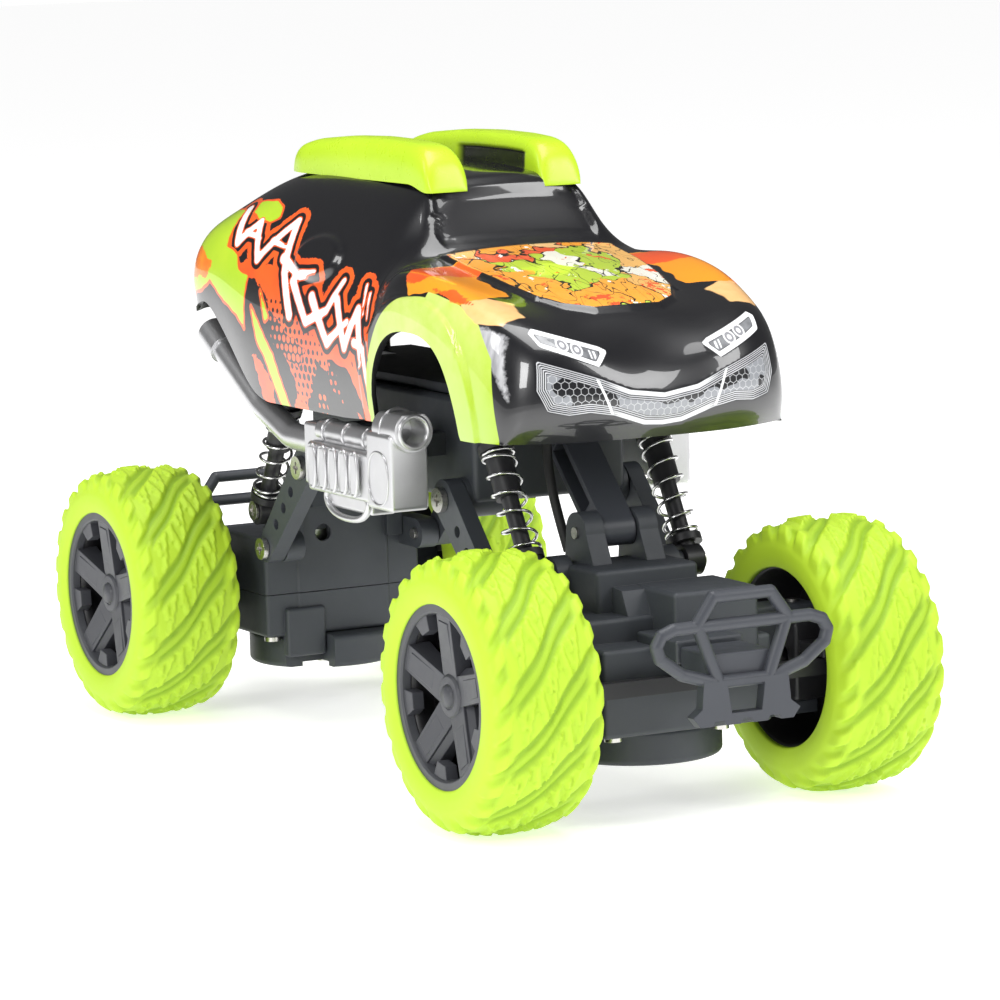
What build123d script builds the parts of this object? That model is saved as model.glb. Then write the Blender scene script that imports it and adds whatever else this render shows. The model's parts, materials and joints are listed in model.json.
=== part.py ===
from build123d import *
import os
from math import acos, atan2, cos, hypot, pi, radians, sin, sqrt, tan

# Radio-controlled 4x4 crawler. Millimetres, X forward, Y left, Z up, wheels on z = 0.
# The origin is on the ground under the middle of the wheelbase.

# ---------------------------------------------------------------- driving dimensions
TYRE_R = 35.0
TYRE_W = 31.0
AXLE_X = 104.0
AXLE_Z = TYRE_R
WHEEL_Y = 48.3
DISH_R = 22.6

PIVOT_R = 1.5
RUN = 0.08                     # running clearance on a radius
SNUG = 0.02                    # clearance of a screw in its own boss

ARM_TOP = (42.0, 74.0)         # lower link's pivot on the chassis, x and z
ARM_FOOT = (67.0, 49.0)        # lower link's pivot on the axle case
LINK_FOOT = (80.0, 68.0)       # upper link's pivot on the axle case
LINK_TOP = (LINK_FOOT[0] + ARM_TOP[0] - ARM_FOOT[0], LINK_FOOT[1] + ARM_TOP[1] - ARM_FOOT[1])
ARM_Y = (23.7, 28.3)
ARM_HEAD_Y = 28.5

SHOCK_TOP = (58.0, 95.0)
SHOCK_FOOT = (79.0, 58.0)
SHOCK_Y = 22.8
SHOCK_EYE_W = 5.0
LUG_Y = 17.7                   # outer face of the lugs beside a shock
BOSS_Y = 19.9                  # end of the small boss that a shock's eye turns against
SHOCK_SLOP = 0.15              # the foot eye's extra radius, where the linkage is opened

KINGPIN_Y = 38.0
RACK_ARM = 16.25               # from the kingpin forward to the rack's pins
RACK_X = AXLE_X + RACK_ARM
RACK_Z = (33.0, 37.0)

MODULE = 0.7
AXLE_TEETH = 32
IDLER_SMALL = 10
IDLER_LARGE = 26
PINION_TEETH = 8
RACK_PINION_TEETH = 12
MOTOR_AT = (88.0, 46.0)
MOTOR_R = 10.0
MOTOR_FLAT = 7.7
MOTOR_HALF = 12.5

SEAM_Z = 34.0
CASE_Y = 24.0
DECK_Z = (99.5, 102.0)
TUB_X = 48.0
TUB_Y = 22.0
TUB_Z = 73.0
SHELL_T = 1.6


# ---------------------------------------------------------------- small helpers
def block(x, y, z, edge=0.0):
    solid = Pos((x[0] + x[1]) / 2, (y[0] + y[1]) / 2, (z[0] + z[1]) / 2) * Box(
        x[1] - x[0], y[1] - y[0], z[1] - z[0])
    return fillet(solid.edges(), edge) if edge else solid


def bar(start, end, radius):
    start, end = Vector(*start), Vector(*end)
    along = end - start
    place = Plane(origin=start, z_dir=along)
    return place * Cylinder(radius, along.length, align=(Align.CENTER, Align.CENTER, Align.MIN))


def disc_y(at, radius, y0, y1):
    return bar((at[0], y0, at[1]), (at[0], y1, at[1]), radius)


def prism_y(points, y0, y1):
    face = Face(Wire.make_polygon([Vector(x, y0, z) for x, z in points], close=True))
    return Solid.extrude(face, Vector(0, y1 - y0, 0))


def prism_x(points, x0, x1):
    face = Face(Wire.make_polygon([Vector(x0, y, z) for y, z in points], close=True))
    return Solid.extrude(face, Vector(x1 - x0, 0, 0))


def prism_z(points, z0, z1):
    face = Face(Wire.make_polygon([Vector(x, y, z0) for x, y in points], close=True))
    return Solid.extrude(face, Vector(0, 0, z1 - z0))


def flip_y(shape):
    return mirror(shape, about=Plane.XZ)


def flip_x(shape):
    return mirror(shape, about=Plane.YZ)


def both_sides(shape):
    return shape + flip_y(shape)


def group(shapes):
    solids = []
    for shape in shapes:
        solids += list(shape.solids())
    return Compound(solids)


def screw_y(at, tip_y, seat_y, head_r=3.0, head_t=1.5):
    """A washer-head screw along Y, its head outboard at seat_y, with a cross recess."""
    side = 1 if seat_y > tip_y else -1
    screw = disc_y(at, PIVOT_R, tip_y, seat_y) + disc_y(at, head_r, seat_y, seat_y + side * head_t)
    deep = (seat_y + side * head_t * 0.4, seat_y + side * head_t * 1.1)
    low, high = min(deep), max(deep)
    for wide, tall in ((0.45, 1.6), (1.6, 0.45)):
        screw -= block((at[0] - wide, at[0] + wide), (low, high), (at[1] - tall, at[1] + tall))
    return screw


def screw_z(x, y, seat_z, tip_z, head_r=2.6):
    """A vertical screw, its head at seat_z, pointing at tip_z."""
    way = 1 if seat_z > tip_z else -1
    head_end = seat_z + way * 1.2
    screw = bar((x, y, tip_z), (x, y, seat_z), 1.1) + bar((x, y, seat_z), (x, y, head_end), head_r)
    for wide, tall in ((0.4, 1.4), (1.4, 0.4)):
        low, high = sorted((seat_z + way * 0.5, head_end + way * 0.1))
        screw -= block((x - wide, x + wide), (y - tall, y + tall), (low, high))
    return screw


# ---------------------------------------------------------------- gears
def involute(angle):
    return tan(angle) - angle


def gear_points(teeth, aim, backlash=0.22):
    """A spur gear's outline about its own centre, with a tooth centred on the angle aim."""
    pitch_r = MODULE * teeth / 2
    base_r = pitch_r * cos(radians(20))
    root_r = pitch_r - 1.25 * MODULE
    tip_r = pitch_r + 0.85 * MODULE
    half_at_pitch = pi / (2 * teeth) - backlash / (2 * pitch_r)

    def half_angle(radius):
        if radius <= base_r:
            radius = base_r
        return half_at_pitch + involute(radians(20)) - involute(acos(base_r / radius))

    steps = [max(root_r, base_r * 0.97), pitch_r, (pitch_r + tip_r) / 2, tip_r]
    flank = [(root_r, half_angle(root_r))] + [(r, half_angle(r)) for r in steps]
    points = []
    for tooth in range(teeth):
        middle = aim + 2 * pi * tooth / teeth
        points += [(r * cos(middle - a), r * sin(middle - a)) for r, a in flank]
        points += [(r * cos(middle + a), r * sin(middle + a)) for r, a in reversed(flank)]
    return points


def gear_y(at, teeth, aim, y0, y1):
    points = [(at[0] + px, at[1] + pz) for px, pz in gear_points(teeth, aim)]
    return prism_y(points, y0, y1)


def idler_place():
    """The idler's axis: one mesh away from the motor and one from the axle, on the low side."""
    spare = 0.12
    to_motor = MODULE * (PINION_TEETH + IDLER_LARGE) / 2 + spare
    to_axle = MODULE * (IDLER_SMALL + AXLE_TEETH) / 2 + spare
    dx, dz = AXLE_X - MOTOR_AT[0], AXLE_Z - MOTOR_AT[1]
    span = hypot(dx, dz)
    along = (to_motor ** 2 - to_axle ** 2 + span ** 2) / (2 * span)
    off = sqrt(to_motor ** 2 - along ** 2)
    ux, uz = dx / span, dz / span
    return (MOTOR_AT[0] + along * ux + off * uz, MOTOR_AT[1] + along * uz - off * ux)


IDLER_AT = idler_place()
AXLE_AT = (AXLE_X, AXLE_Z)
GEAR_Y = (17.8, 21.2)
IDLER_LARGE_Y = (13.8, 17.0)


def toward(start, end):
    return atan2(end[1] - start[1], end[0] - start[0])


def axle_gear():
    return gear_y(AXLE_AT, AXLE_TEETH, toward(AXLE_AT, IDLER_AT), *GEAR_Y)


def idler_gear():
    gap = toward(IDLER_AT, AXLE_AT) + pi / IDLER_SMALL
    small = gear_y(IDLER_AT, IDLER_SMALL, gap, IDLER_LARGE_Y[1], GEAR_Y[1] + 0.4)
    large = gear_y(IDLER_AT, IDLER_LARGE, toward(IDLER_AT, MOTOR_AT), *IDLER_LARGE_Y)
    return small + large - disc_y(IDLER_AT, PIVOT_R + RUN, 10, 26)


def motor_pinion():
    gap = toward(MOTOR_AT, IDLER_AT) + pi / PINION_TEETH
    wheel = gear_y(MOTOR_AT, PINION_TEETH, gap, IDLER_LARGE_Y[0] - 0.4, IDLER_LARGE_Y[1] + 0.3)
    return wheel + disc_y(MOTOR_AT, 1.0, 8.0, IDLER_LARGE_Y[1] + 0.3)


def motor():
    can = disc_y(MOTOR_AT, MOTOR_R, -MOTOR_HALF, MOTOR_HALF)
    flats = block((MOTOR_AT[0] - MOTOR_FLAT, MOTOR_AT[0] + MOTOR_FLAT), (-MOTOR_HALF, MOTOR_HALF),
                  (MOTOR_AT[1] - MOTOR_R, MOTOR_AT[1] + MOTOR_R))
    return (can & flats) - disc_y(MOTOR_AT, 1.0 + RUN, 7.0, MOTOR_HALF)


# ---------------------------------------------------------------- axle unit
BODY_X = (77.0, 117.2)
RACK_PINION_R = MODULE * RACK_PINION_TEETH / 2
RACK_PITCH_X = RACK_X - 1.75
RACK_PINION_AT = (RACK_PITCH_X - RACK_PINION_R - 0.05, 8.0)
SERVO_X = (100.0, 116.5)
SERVO_Y = (0.5, 15.5)
SERVO_Z = (41.0, 54.5)
COVER_AT = (91.0, 0.0)
COVER_R = 21.0
COVER_Z = (12.8, 21.8)
NOSE_X = 128.0
LEAD_HOLE = (-6.0, 50.4)


def axle_case_outer():
    """The gearbox's outside: stepped blocks, clevis ears, link lugs and shock lugs."""
    case = block((76.5, 98.0), (-14.5, 14.5), (22.0, 60.6), 1.2)
    case += block(BODY_X, (-CASE_Y, CASE_Y), (22.0, 44.0), 1.2)
    case += block((77.0, 107.0), (-CASE_Y, CASE_Y), (23.5, 50.0), 1.2)
    case += block((96.0, 118.0), (-4.0, 20.0), (37.5, 56.6), 1.2)
    case += prism_y([(97, 40), (106, 40), (106, 50), (103, 56), (97, 56.5)], -10.5, -3.5)
    case += block((108.0, NOSE_X), (-9.5, 9.5), (40.8, 46.6), 0.8)
    for side in (1, -1):
        ears = (5.0, 10.4) if side > 0 else (-10.4, -5.0)
        ear = prism_y([(73.5, 58), (90, 58), (85.2, 68), (74.8, 68)], *ears)
        case += ear + disc_y(LINK_FOOT, 5.2, *ears)
        lug = (18.0, ARM_Y[0] - 0.3) if side > 0 else (-ARM_Y[0] + 0.3, -18.0)
        case += disc_y(ARM_FOOT, 4.2, *lug) + block((ARM_FOOT[0], 79.0), lug, (45.0, 53.2))
        foot = sorted((side * 13.0, side * LUG_Y))
        case += disc_y(SHOCK_FOOT, 4.6, *foot) + block((74.4, 83.6), foot, (48.0, 58.0))
        case += disc_y(SHOCK_FOOT, 2.8, side * 16.0, side * BOSS_Y)
    case -= disc_y(LINK_FOOT, PIVOT_R + SNUG, -12, 12)
    rear_web = block((75.2, 79.0), (-18.5, -6.5), (16.2, 30.0), 1.0)
    return case + rear_web


def axle_case_pockets():
    """Everything that the case holds or lets through, with room round it."""
    room = 0.5
    hollow = disc_y(MOTOR_AT, MOTOR_R + 0.3, -MOTOR_HALF - 0.4, MOTOR_HALF + 0.4)
    hollow += disc_y(MOTOR_AT, MODULE * PINION_TEETH / 2 + 1.2, MOTOR_HALF, IDLER_LARGE_Y[1] + room)
    hollow += disc_y(IDLER_AT, MODULE * IDLER_LARGE / 2 + 1.1, 13.3, IDLER_LARGE_Y[1] + room)
    hollow += disc_y(IDLER_AT, MODULE * IDLER_SMALL / 2 + 1.1, 16.0, GEAR_Y[1] + 0.9)
    hollow += disc_y(AXLE_AT, MODULE * AXLE_TEETH / 2 + 1.1, GEAR_Y[0] - room, GEAR_Y[1] + room)
    hollow += disc_y(AXLE_AT, 2.0 + RUN, -60, 60)
    hollow += disc_y(IDLER_AT, PIVOT_R + SNUG, 9.0, 23.2)
    hollow += bar((75.0, *LEAD_HOLE), (79.0, *LEAD_HOLE), 2.4)
    for side in (1, -1):
        hollow += disc_y(ARM_FOOT, PIVOT_R + SNUG, side * 16.0, side * 26.0)
        hollow += disc_y(SHOCK_FOOT, PIVOT_R + SNUG, side * 15.0, side * 26.0)
    return hollow


def steering_pockets():
    """Room for the steering motor, its pinion and the rack."""
    room = 0.3
    hollow = block((SERVO_X[0] - room, SERVO_X[1] + room), (SERVO_Y[0] - room, SERVO_Y[1] + room),
                   (SERVO_Z[0] - room, SERVO_Z[1] + room))
    x, y = RACK_PINION_AT
    hollow += bar((x, y, 32.3), (x, y, 38.0), RACK_PINION_R + 1.1)
    hollow += bar((x, y, 30.0), (x, y, 42.0), PIVOT_R + RUN)
    return hollow


def knuckle_yoke(side):
    """The C-shaped arms that hold a knuckle's kingpins, on the case's end."""
    y0, y1 = sorted((side * 22.0, side * 42.2))
    bore = [bar((AXLE_X, side * KINGPIN_Y, z0), (AXLE_X, side * KINGPIN_Y, z1), PIVOT_R + SNUG)
            for z0, z1 in ((18, 30), (40, 52))]
    yoke = block((AXLE_X - 5, AXLE_X + 5), (y0, y1), (45.4, 49.0), 0.8)
    yoke += block((AXLE_X - 5, AXLE_X + 5), (y0, y1), (21.0, 24.6), 0.8)
    face = sorted((side * 22.0, side * 30.5))
    yoke += block((AXLE_X - 5, AXLE_X + 5), face, (22.0, 48.0)) & disc_y(AXLE_AT, 14.5, *face)
    return yoke - bore[0] - bore[1]


def axle_tube(side):
    """The rear case's end: a plain stub that carries the axle shaft."""
    y0, y1 = sorted((side * 22.0, side * 40.0))
    return disc_y(AXLE_AT, 7.5, y0, y1)


def axle_case(front):
    case = axle_case_outer()
    for side in (1, -1):
        case += knuckle_yoke(side) if front else axle_tube(side)
    case -= axle_case_pockets()
    if front:
        case -= steering_pockets()
    else:
        case -= both_sides(disc_y(AXLE_AT, 4.6, 34.0, 41.0))
    gap = 0.1
    upper = case & block((60, 140), (-60, 60), (SEAM_Z + gap, 90))
    lower = case & block((60, 140), (-60, 60), (10, SEAM_Z - gap))
    lower -= case_screw_holes()
    upper -= case_screw_holes()
    return largest(upper), largest(lower)


def largest(shape):
    """The main solid, without slivers that a cut may leave."""
    return max(shape.solids(), key=lambda solid: solid.volume)


CASE_SCREWS = ((113.0, -19.5), (113.0, 11.0), (79.8, -21.2))


def case_screw_holes():
    holes = bar((*CASE_SCREWS[0], 18.0), (*CASE_SCREWS[0], 40.0), 1.1 + SNUG)
    for place in CASE_SCREWS[1:2]:
        holes += bar((*place, 18.0), (*place, 31.5), 1.1 + SNUG)
    holes += bar((*CASE_SCREWS[2], 18.0), (*CASE_SCREWS[2], 40.0), 1.1 + SNUG)
    return holes


def gear_cover():
    """The round cover under the case, with three ribs and a boss."""
    x, y = COVER_AT
    cover = bar((x, y, COVER_Z[0]), (x, y, COVER_Z[1]), COVER_R)
    cover = fillet(cover.edges(), 1.5)
    cover -= bar((x, y, COVER_Z[0] - 1), (x, y, COVER_Z[0] + 1.2), COVER_R - 4)
    cover += bar((x, y, COVER_Z[0] + 0.2), (x, y, COVER_Z[0] + 3), 4.0)
    cover -= bar((x, y, COVER_Z[0] - 1), (x, y, COVER_Z[1] + 1), 1.1 + SNUG)
    cover -= block((69.0, 79.3), (-18.8, -6.2), (10.0, 30.0))
    return cover


def bumper():
    """Tube frame: a long ring, a raised top, two struts and a pierced skid plate."""
    bar_x = 143.6
    ring = [(-19.0, 52.4), (-22.4, 51.2), (-23.9, 48.6), (-23.0, 45.6), (-17.0, 41.2), (-8.0, 38.4),
            (8.0, 38.4), (17.0, 41.2), (23.0, 45.6), (23.9, 48.6), (22.4, 51.2), (19.0, 52.4)]
    top = [(-13.0, 52.4), (-8.0, 59.3), (8.0, 59.3), (13.0, 52.4)]
    struts = [[(-12.4, 52.4), (-7.0, 38.6)], [(12.4, 52.4), (7.0, 38.6)]]
    frame = None
    for path in [ring + ring[:1], top] + struts:
        for (ya, za), (yb, zb) in zip(path[:-1], path[1:]):
            piece = bar((bar_x, ya, za), (bar_x, yb, zb), 1.6) + Pos(bar_x, ya, za) * Sphere(1.6)
            frame = piece if frame is None else frame + piece
    plate = [(-11.8, 39.0), (11.8, 39.0), (12.4, 32.5), (15.0, 30.5), (13.0, 28.0), (9.6, 28.0),
             (9.0, 29.2), (6.4, 29.2), (5.8, 28.0), (1.8, 28.0), (1.2, 29.2), (-1.2, 29.2),
             (-1.8, 28.0), (-5.8, 28.0), (-6.4, 29.2), (-9.0, 29.2), (-9.6, 28.0), (-13.0, 28.0),
             (-15.0, 30.5), (-12.4, 32.5)]
    skid = prism_x(plate, 142.0, 145.2)
    skid -= prism_x([(-5.2, 37.6), (5.2, 37.6), (4.2, 30.8), (-4.2, 30.8)], 140.0, 147.0)
    stem = block((NOSE_X, 142.6), (-8.5, 8.5), (38.6, 45.2), 0.7)
    return frame + skid + stem


# ---------------------------------------------------------------- links and shocks
def lower_arm():
    """A flat link with an eye at each end and three lightening holes."""
    arm = disc_y(ARM_TOP, 5.2, *ARM_Y) + disc_y(ARM_FOOT, 3.9, *ARM_Y)
    dx, dz = ARM_FOOT[0] - ARM_TOP[0], ARM_FOOT[1] - ARM_TOP[1]
    span = hypot(dx, dz)
    ux, uz = dx / span, dz / span
    nx, nz = -uz, ux
    top_w, foot_w = 5.2, 3.9
    web = [(ARM_TOP[0] + nx * top_w, ARM_TOP[1] + nz * top_w),
           (ARM_FOOT[0] + nx * foot_w, ARM_FOOT[1] + nz * foot_w),
           (ARM_FOOT[0] - nx * foot_w, ARM_FOOT[1] - nz * foot_w),
           (ARM_TOP[0] - nx * top_w, ARM_TOP[1] - nz * top_w)]
    arm += prism_y(web, *ARM_Y)
    for at in (ARM_TOP, ARM_FOOT):
        arm -= disc_y(at, PIVOT_R + RUN, 20, 30)
    for share in (0.30, 0.50, 0.70):
        arm -= disc_y((ARM_TOP[0] + dx * share, ARM_TOP[1] + dz * share), 1.5, 20, 30)
    return arm


def upper_link():
    """The centre link: an I-beam between two eyes."""
    half = 4.6
    link = disc_y(LINK_TOP, 4.2, -half, half) + disc_y(LINK_FOOT, 4.2, -half, half)
    dx, dz = LINK_FOOT[0] - LINK_TOP[0], LINK_FOOT[1] - LINK_TOP[1]
    span = hypot(dx, dz)
    ux, uz = dx / span, dz / span
    nx, nz = -uz, ux

    def strip(deep, start, end):
        a = (LINK_TOP[0] + ux * start, LINK_TOP[1] + uz * start)
        b = (LINK_TOP[0] + ux * end, LINK_TOP[1] + uz * end)
        return [(a[0] + nx * deep, a[1] + nz * deep), (b[0] + nx * deep, b[1] + nz * deep),
                (b[0] - nx * deep, b[1] - nz * deep), (a[0] - nx * deep, a[1] - nz * deep)]

    link += prism_y(strip(4.2, 0.0, span), -half, half)
    pocket = prism_y(strip(2.6, 7.0, span - 7.0), 1.2, half + 1)
    link -= both_sides(pocket)
    for at in (LINK_TOP, LINK_FOOT):
        link -= disc_y(at, PIVOT_R + RUN, -8, 8)
    return link


SHOCK_LEN = hypot(SHOCK_FOOT[0] - SHOCK_TOP[0], SHOCK_FOOT[1] - SHOCK_TOP[1])
SHOCK_DIR = ((SHOCK_FOOT[0] - SHOCK_TOP[0]) / SHOCK_LEN, (SHOCK_FOOT[1] - SHOCK_TOP[1]) / SHOCK_LEN)
BARREL_R = 3.5
BARREL_END = 21.0
ROD_R = 2.2
ROD_TOP = 12.5
SEAT_TOP = 8.4
SEAT_FOOT = SHOCK_LEN - 6.2
SPRING_R = 4.2
WIRE_R = 0.4
COILS = 6


def on_shock(distance, side=1):
    """The point on a shock's axis at a distance below its top eye."""
    return (SHOCK_TOP[0] + SHOCK_DIR[0] * distance, side * SHOCK_Y,
            SHOCK_TOP[1] + SHOCK_DIR[1] * distance)


def shock_eye(at, hole_r, outer_r=4.0):
    y0, y1 = SHOCK_Y - SHOCK_EYE_W / 2, SHOCK_Y + SHOCK_EYE_W / 2
    return disc_y(at, outer_r, y0, y1), disc_y(at, hole_r, y0 - 1, y1 + 1)


def shock_barrel():
    eye, hole = shock_eye(SHOCK_TOP, PIVOT_R + RUN)
    barrel = eye + bar(on_shock(4.4), on_shock(BARREL_END), BARREL_R)
    barrel += bar(on_shock(1.0), on_shock(5.4), 2.4)
    barrel += bar(on_shock(SEAT_TOP - 2.0), on_shock(SEAT_TOP), 4.6)
    barrel -= bar(on_shock(6.0), on_shock(BARREL_END + 1), ROD_R + RUN)
    return barrel - hole


def shock_rod():
    eye, hole = shock_eye(SHOCK_FOOT, PIVOT_R + SHOCK_SLOP)
    rod = eye + bar(on_shock(ROD_TOP), on_shock(SHOCK_LEN - 2.0), ROD_R)
    rod += bar(on_shock(SEAT_FOOT), on_shock(SEAT_FOOT + 2.0), 4.6)
    rod += bar(on_shock(SEAT_FOOT + 1.0), on_shock(SHOCK_LEN - 1.5), 2.5)
    return rod - hole


def shock_spring():
    """A round-wire helix with six turns, between the two seats."""
    start, end = SEAT_TOP + 0.15 + WIRE_R, SEAT_FOOT - 0.15 - WIRE_R
    axis = Plane(origin=Vector(*on_shock(start)), x_dir=(0, 1, 0),
                 z_dir=Vector(SHOCK_DIR[0], 0, SHOCK_DIR[1]))
    path = Helix(pitch=(end - start) / COILS, height=end - start, radius=SPRING_R)
    path = axis * path
    profile = Plane(origin=path @ 0, z_dir=path % 0) * Circle(WIRE_R)
    return sweep(profile, path=path)


# ---------------------------------------------------------------- wheels
def ring_y(profile, sweep_angle=360.0, start_angle=0.0):
    """Turns an outline of (radius, y) about the Y axis through the origin."""
    points = [Vector(r * cos(radians(start_angle)), y, r * sin(radians(start_angle)))
              for r, y in profile]
    face = Face(Wire.make_polygon(points, close=True))
    return Solid.revolve(face, sweep_angle, Axis((0, 0, 0), (0, -1, 0)))


def tyre(side):
    """A soft balloon tyre: crowned carcass, 24 lugs on each shoulder, bars across the middle."""
    half = TYRE_W / 2
    carcass = [(DISH_R + 1.2, -half + 0.8), (27.5, -half), (31.0, -half + 1.4), (32.9, -half + 5.0),
               (33.4, 0.0), (32.9, half - 5.0), (31.0, half - 1.4), (27.5, half),
               (DISH_R + 1.2, half - 0.8)]
    solid = ring_y(carcass)
    count = 24
    for k in range(count):
        for edge in (1, -1):
            lug = [(30.0, edge * (half - 3.0)), (32.2, edge * (half - 0.9)),
                   (34.2, edge * (half - 2.6)), (TYRE_R, edge * (half - 5.5)),
                   (TYRE_R, edge * 3.2), (32.5, edge * 3.2)]
            middle = 90 + 360 * k / count + (0 if edge > 0 else 180 / count)
            solid += ring_y(lug, 8.5, middle - 4.25)
    return Pos(AXLE_X, side * WHEEL_Y, AXLE_Z) * solid


def rim(side):
    """A deep-dish wheel: barrel, closed web, hub and five swept blades."""
    half = TYRE_W / 2
    outer = half - 1.6
    barrel = [(DISH_R - 0.4, -half + 1.0), (DISH_R + 1.1, -half + 1.0), (DISH_R + 1.1, outer),
              (19.6, outer), (19.6, outer - 2.4), (DISH_R - 0.9, outer - 5.0)]
    solid = ring_y(barrel)
    solid += disc_y((0, 0), DISH_R, 3.6, 5.2)
    solid += disc_y((0, 0), 6.2, 3.0, outer - 0.4) + disc_y((0, 0), 4.4, outer - 0.6, outer + 0.7)
    blade = [(-2.0, 4.6), (3.2, 4.0), (6.6, 20.4), (0.2, 20.8), (-1.6, 13.0)]
    for k in range(5):
        fin = prism_y(blade, 5.0, outer - 0.6)
        solid += Rot(0, 72 * k, 0) * fin
    solid += disc_y((0, 0), 5.2, -2.0, 4.0)
    solid -= disc_y((0, 0), 2.4 + SNUG, -3.0, 9.0)
    if side < 0:
        solid = flip_y(solid)
    return Pos(AXLE_X, side * WHEEL_Y, AXLE_Z) * solid


def wheel_cup(side):
    """The drive cup on the wheel's stub axle: it takes the shaft's ball and cross-pin."""
    cup = disc_y(AXLE_AT, 6.2, 33.9, 42.7) - disc_y(AXLE_AT, 4.3, 33.0, 41.5)
    cup -= block((AXLE_X - 1.1, AXLE_X + 1.1), (33.0, 40.6), (AXLE_Z - 7, AXLE_Z + 7))
    cup += disc_y(AXLE_AT, 2.4, 42.0, WHEEL_Y + 8.6)
    return cup if side > 0 else flip_y(cup)


def front_drive_shaft():
    """The front axle's inner shaft, with its gear, and a ball and cross-pin at each end."""
    shaft = disc_y(AXLE_AT, 2.0, -KINGPIN_Y, KINGPIN_Y) + axle_gear()
    for side in (1, -1):
        shaft += Pos(AXLE_X, side * KINGPIN_Y, AXLE_Z) * Sphere(3.1)
        shaft += bar((AXLE_X, side * KINGPIN_Y, AXLE_Z - 5.2), (AXLE_X, side * KINGPIN_Y, AXLE_Z + 5.2), 0.9)
    return shaft


def rear_axle_shaft():
    reach = WHEEL_Y + 8.6
    shaft = disc_y(AXLE_AT, 2.0, -44.0, 44.0) + axle_gear()
    for side in (1, -1):
        shaft += disc_y(AXLE_AT, 2.4, side * 42.0, side * reach)
    return flip_x(shaft)


# ---------------------------------------------------------------- steering
def knuckle(side):
    """A ring round the drive cup, with kingpin holes and a slotted arm for the rack's pin."""
    body = block((AXLE_X - 8.8, AXLE_X + 8.8), (33.2, 46.0), (25.1, 44.9), 1.0)
    body -= disc_y(AXLE_AT, 6.8, 30.0, 43.2)
    body -= disc_y(AXLE_AT, 2.4 + RUN, 40.0, 48.0)
    body -= block((AXLE_X - 3.4, AXLE_X + 3.4), (30.0, 42.9), (28.0, 42.0))
    arm = block((AXLE_X + 6.0, RACK_X + 4.2), (34.4, 41.6), (37.4, 40.4), 0.6)
    arm -= block((RACK_X - PIVOT_R - 0.35, RACK_X + PIVOT_R + 0.8), (KINGPIN_Y - PIVOT_R - RUN,
                 KINGPIN_Y + PIVOT_R + RUN), (36.0, 42.0))
    body += arm
    body -= disc_y(AXLE_AT, 6.8, 30.0, 43.2)
    body -= bar((AXLE_X, KINGPIN_Y, 20.0), (AXLE_X, KINGPIN_Y, 50.0), PIVOT_R + RUN)
    return body if side > 0 else flip_y(body)


def kingpins():
    pins = []
    for side in (1, -1):
        for z0, z1 in ((20.4, 27.4), (42.6, 49.6)):
            pins.append(bar((AXLE_X, side * KINGPIN_Y, z0), (AXLE_X, side * KINGPIN_Y, z1), PIVOT_R))
    return pins


def steering_rack():
    """A straight bar with rack teeth behind its middle and an upright pin at each end."""
    pitch = pi * MODULE
    back = RACK_PITCH_X + 1.0
    rack = block((back, back + 3.0), (-KINGPIN_Y - 2.5, KINGPIN_Y + 2.5), RACK_Z)
    for side in (1, -1):
        rack += bar((RACK_X, side * KINGPIN_Y, RACK_Z[0]), (RACK_X, side * KINGPIN_Y, 40.4), PIVOT_R)
        rack += bar((RACK_X, side * KINGPIN_Y, RACK_Z[0]), (RACK_X, side * KINGPIN_Y, RACK_Z[1]), 2.5)
    for k in range(-5, 6):
        y = RACK_PINION_AT[1] + (k + 0.5) * pitch
        tooth = [(back + 0.2, y - 0.80), (RACK_PITCH_X, y - 0.42), (RACK_PITCH_X - 0.58, y - 0.22),
                 (RACK_PITCH_X - 0.58, y + 0.22), (RACK_PITCH_X, y + 0.42), (back + 0.2, y + 0.80)]
        rack += prism_z(tooth, *RACK_Z)
    return rack


def rack_pinion():
    x, y = RACK_PINION_AT
    wheel = prism_z([(x + px, y + py) for px, py in gear_points(RACK_PINION_TEETH, 0.0)], 33.0, 37.0)
    return wheel + bar((x, y, 30.4), (x, y, 43.0), PIVOT_R)


def steering_motor():
    x, y = RACK_PINION_AT
    case = block(SERVO_X, SERVO_Y, SERVO_Z, 0.8)
    return case - bar((x, y, SERVO_Z[0] - 1), (x, y, SERVO_Z[0] + 2.6), PIVOT_R + RUN)


# ---------------------------------------------------------------- chassis
ENGINE_X = (-12.0, 44.0)
ENGINE_Y = (33.0, 44.0)
POSTS = ((86.0, 14.0), (-64.0, 9.5))


def chassis_tub():
    """The lower tray between the axles, open at its top, with link bosses and side brackets."""
    tub = block((-TUB_X, TUB_X), (-TUB_Y, TUB_Y), (TUB_Z, DECK_Z[0]), 1.5)
    tub -= block((-TUB_X + 2, TUB_X - 2), (-TUB_Y + 2, TUB_Y - 2), (TUB_Z + 2, DECK_Z[0] + 2))
    tub -= block((-26, 26), (-15, 15), (TUB_Z - 1, TUB_Z + 3))
    tub -= block((33.9, 40.1), (-1.6, 1.6), (TUB_Z - 1, TUB_Z + 3))
    for side in (1, -1):
        for way in (1, -1):
            at = (way * ARM_TOP[0], ARM_TOP[1])
            boss = disc_y(at, 5.2, side * 13.0, side * (ARM_Y[0] - 0.3))
            tub += boss - disc_y(at, PIVOT_R + SNUG, side * 12.0, side * 25.0)
            tub -= disc_y(at, PIVOT_R + SNUG, side * 14.0, side * 25.0)
        arm = sorted((side * (TUB_Y - 1), side * ENGINE_Y[0]))
        for x in (-6.0, 26.0):
            tub += block((x, x + 6), arm, (84.0, 90.0))
    return tub


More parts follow.
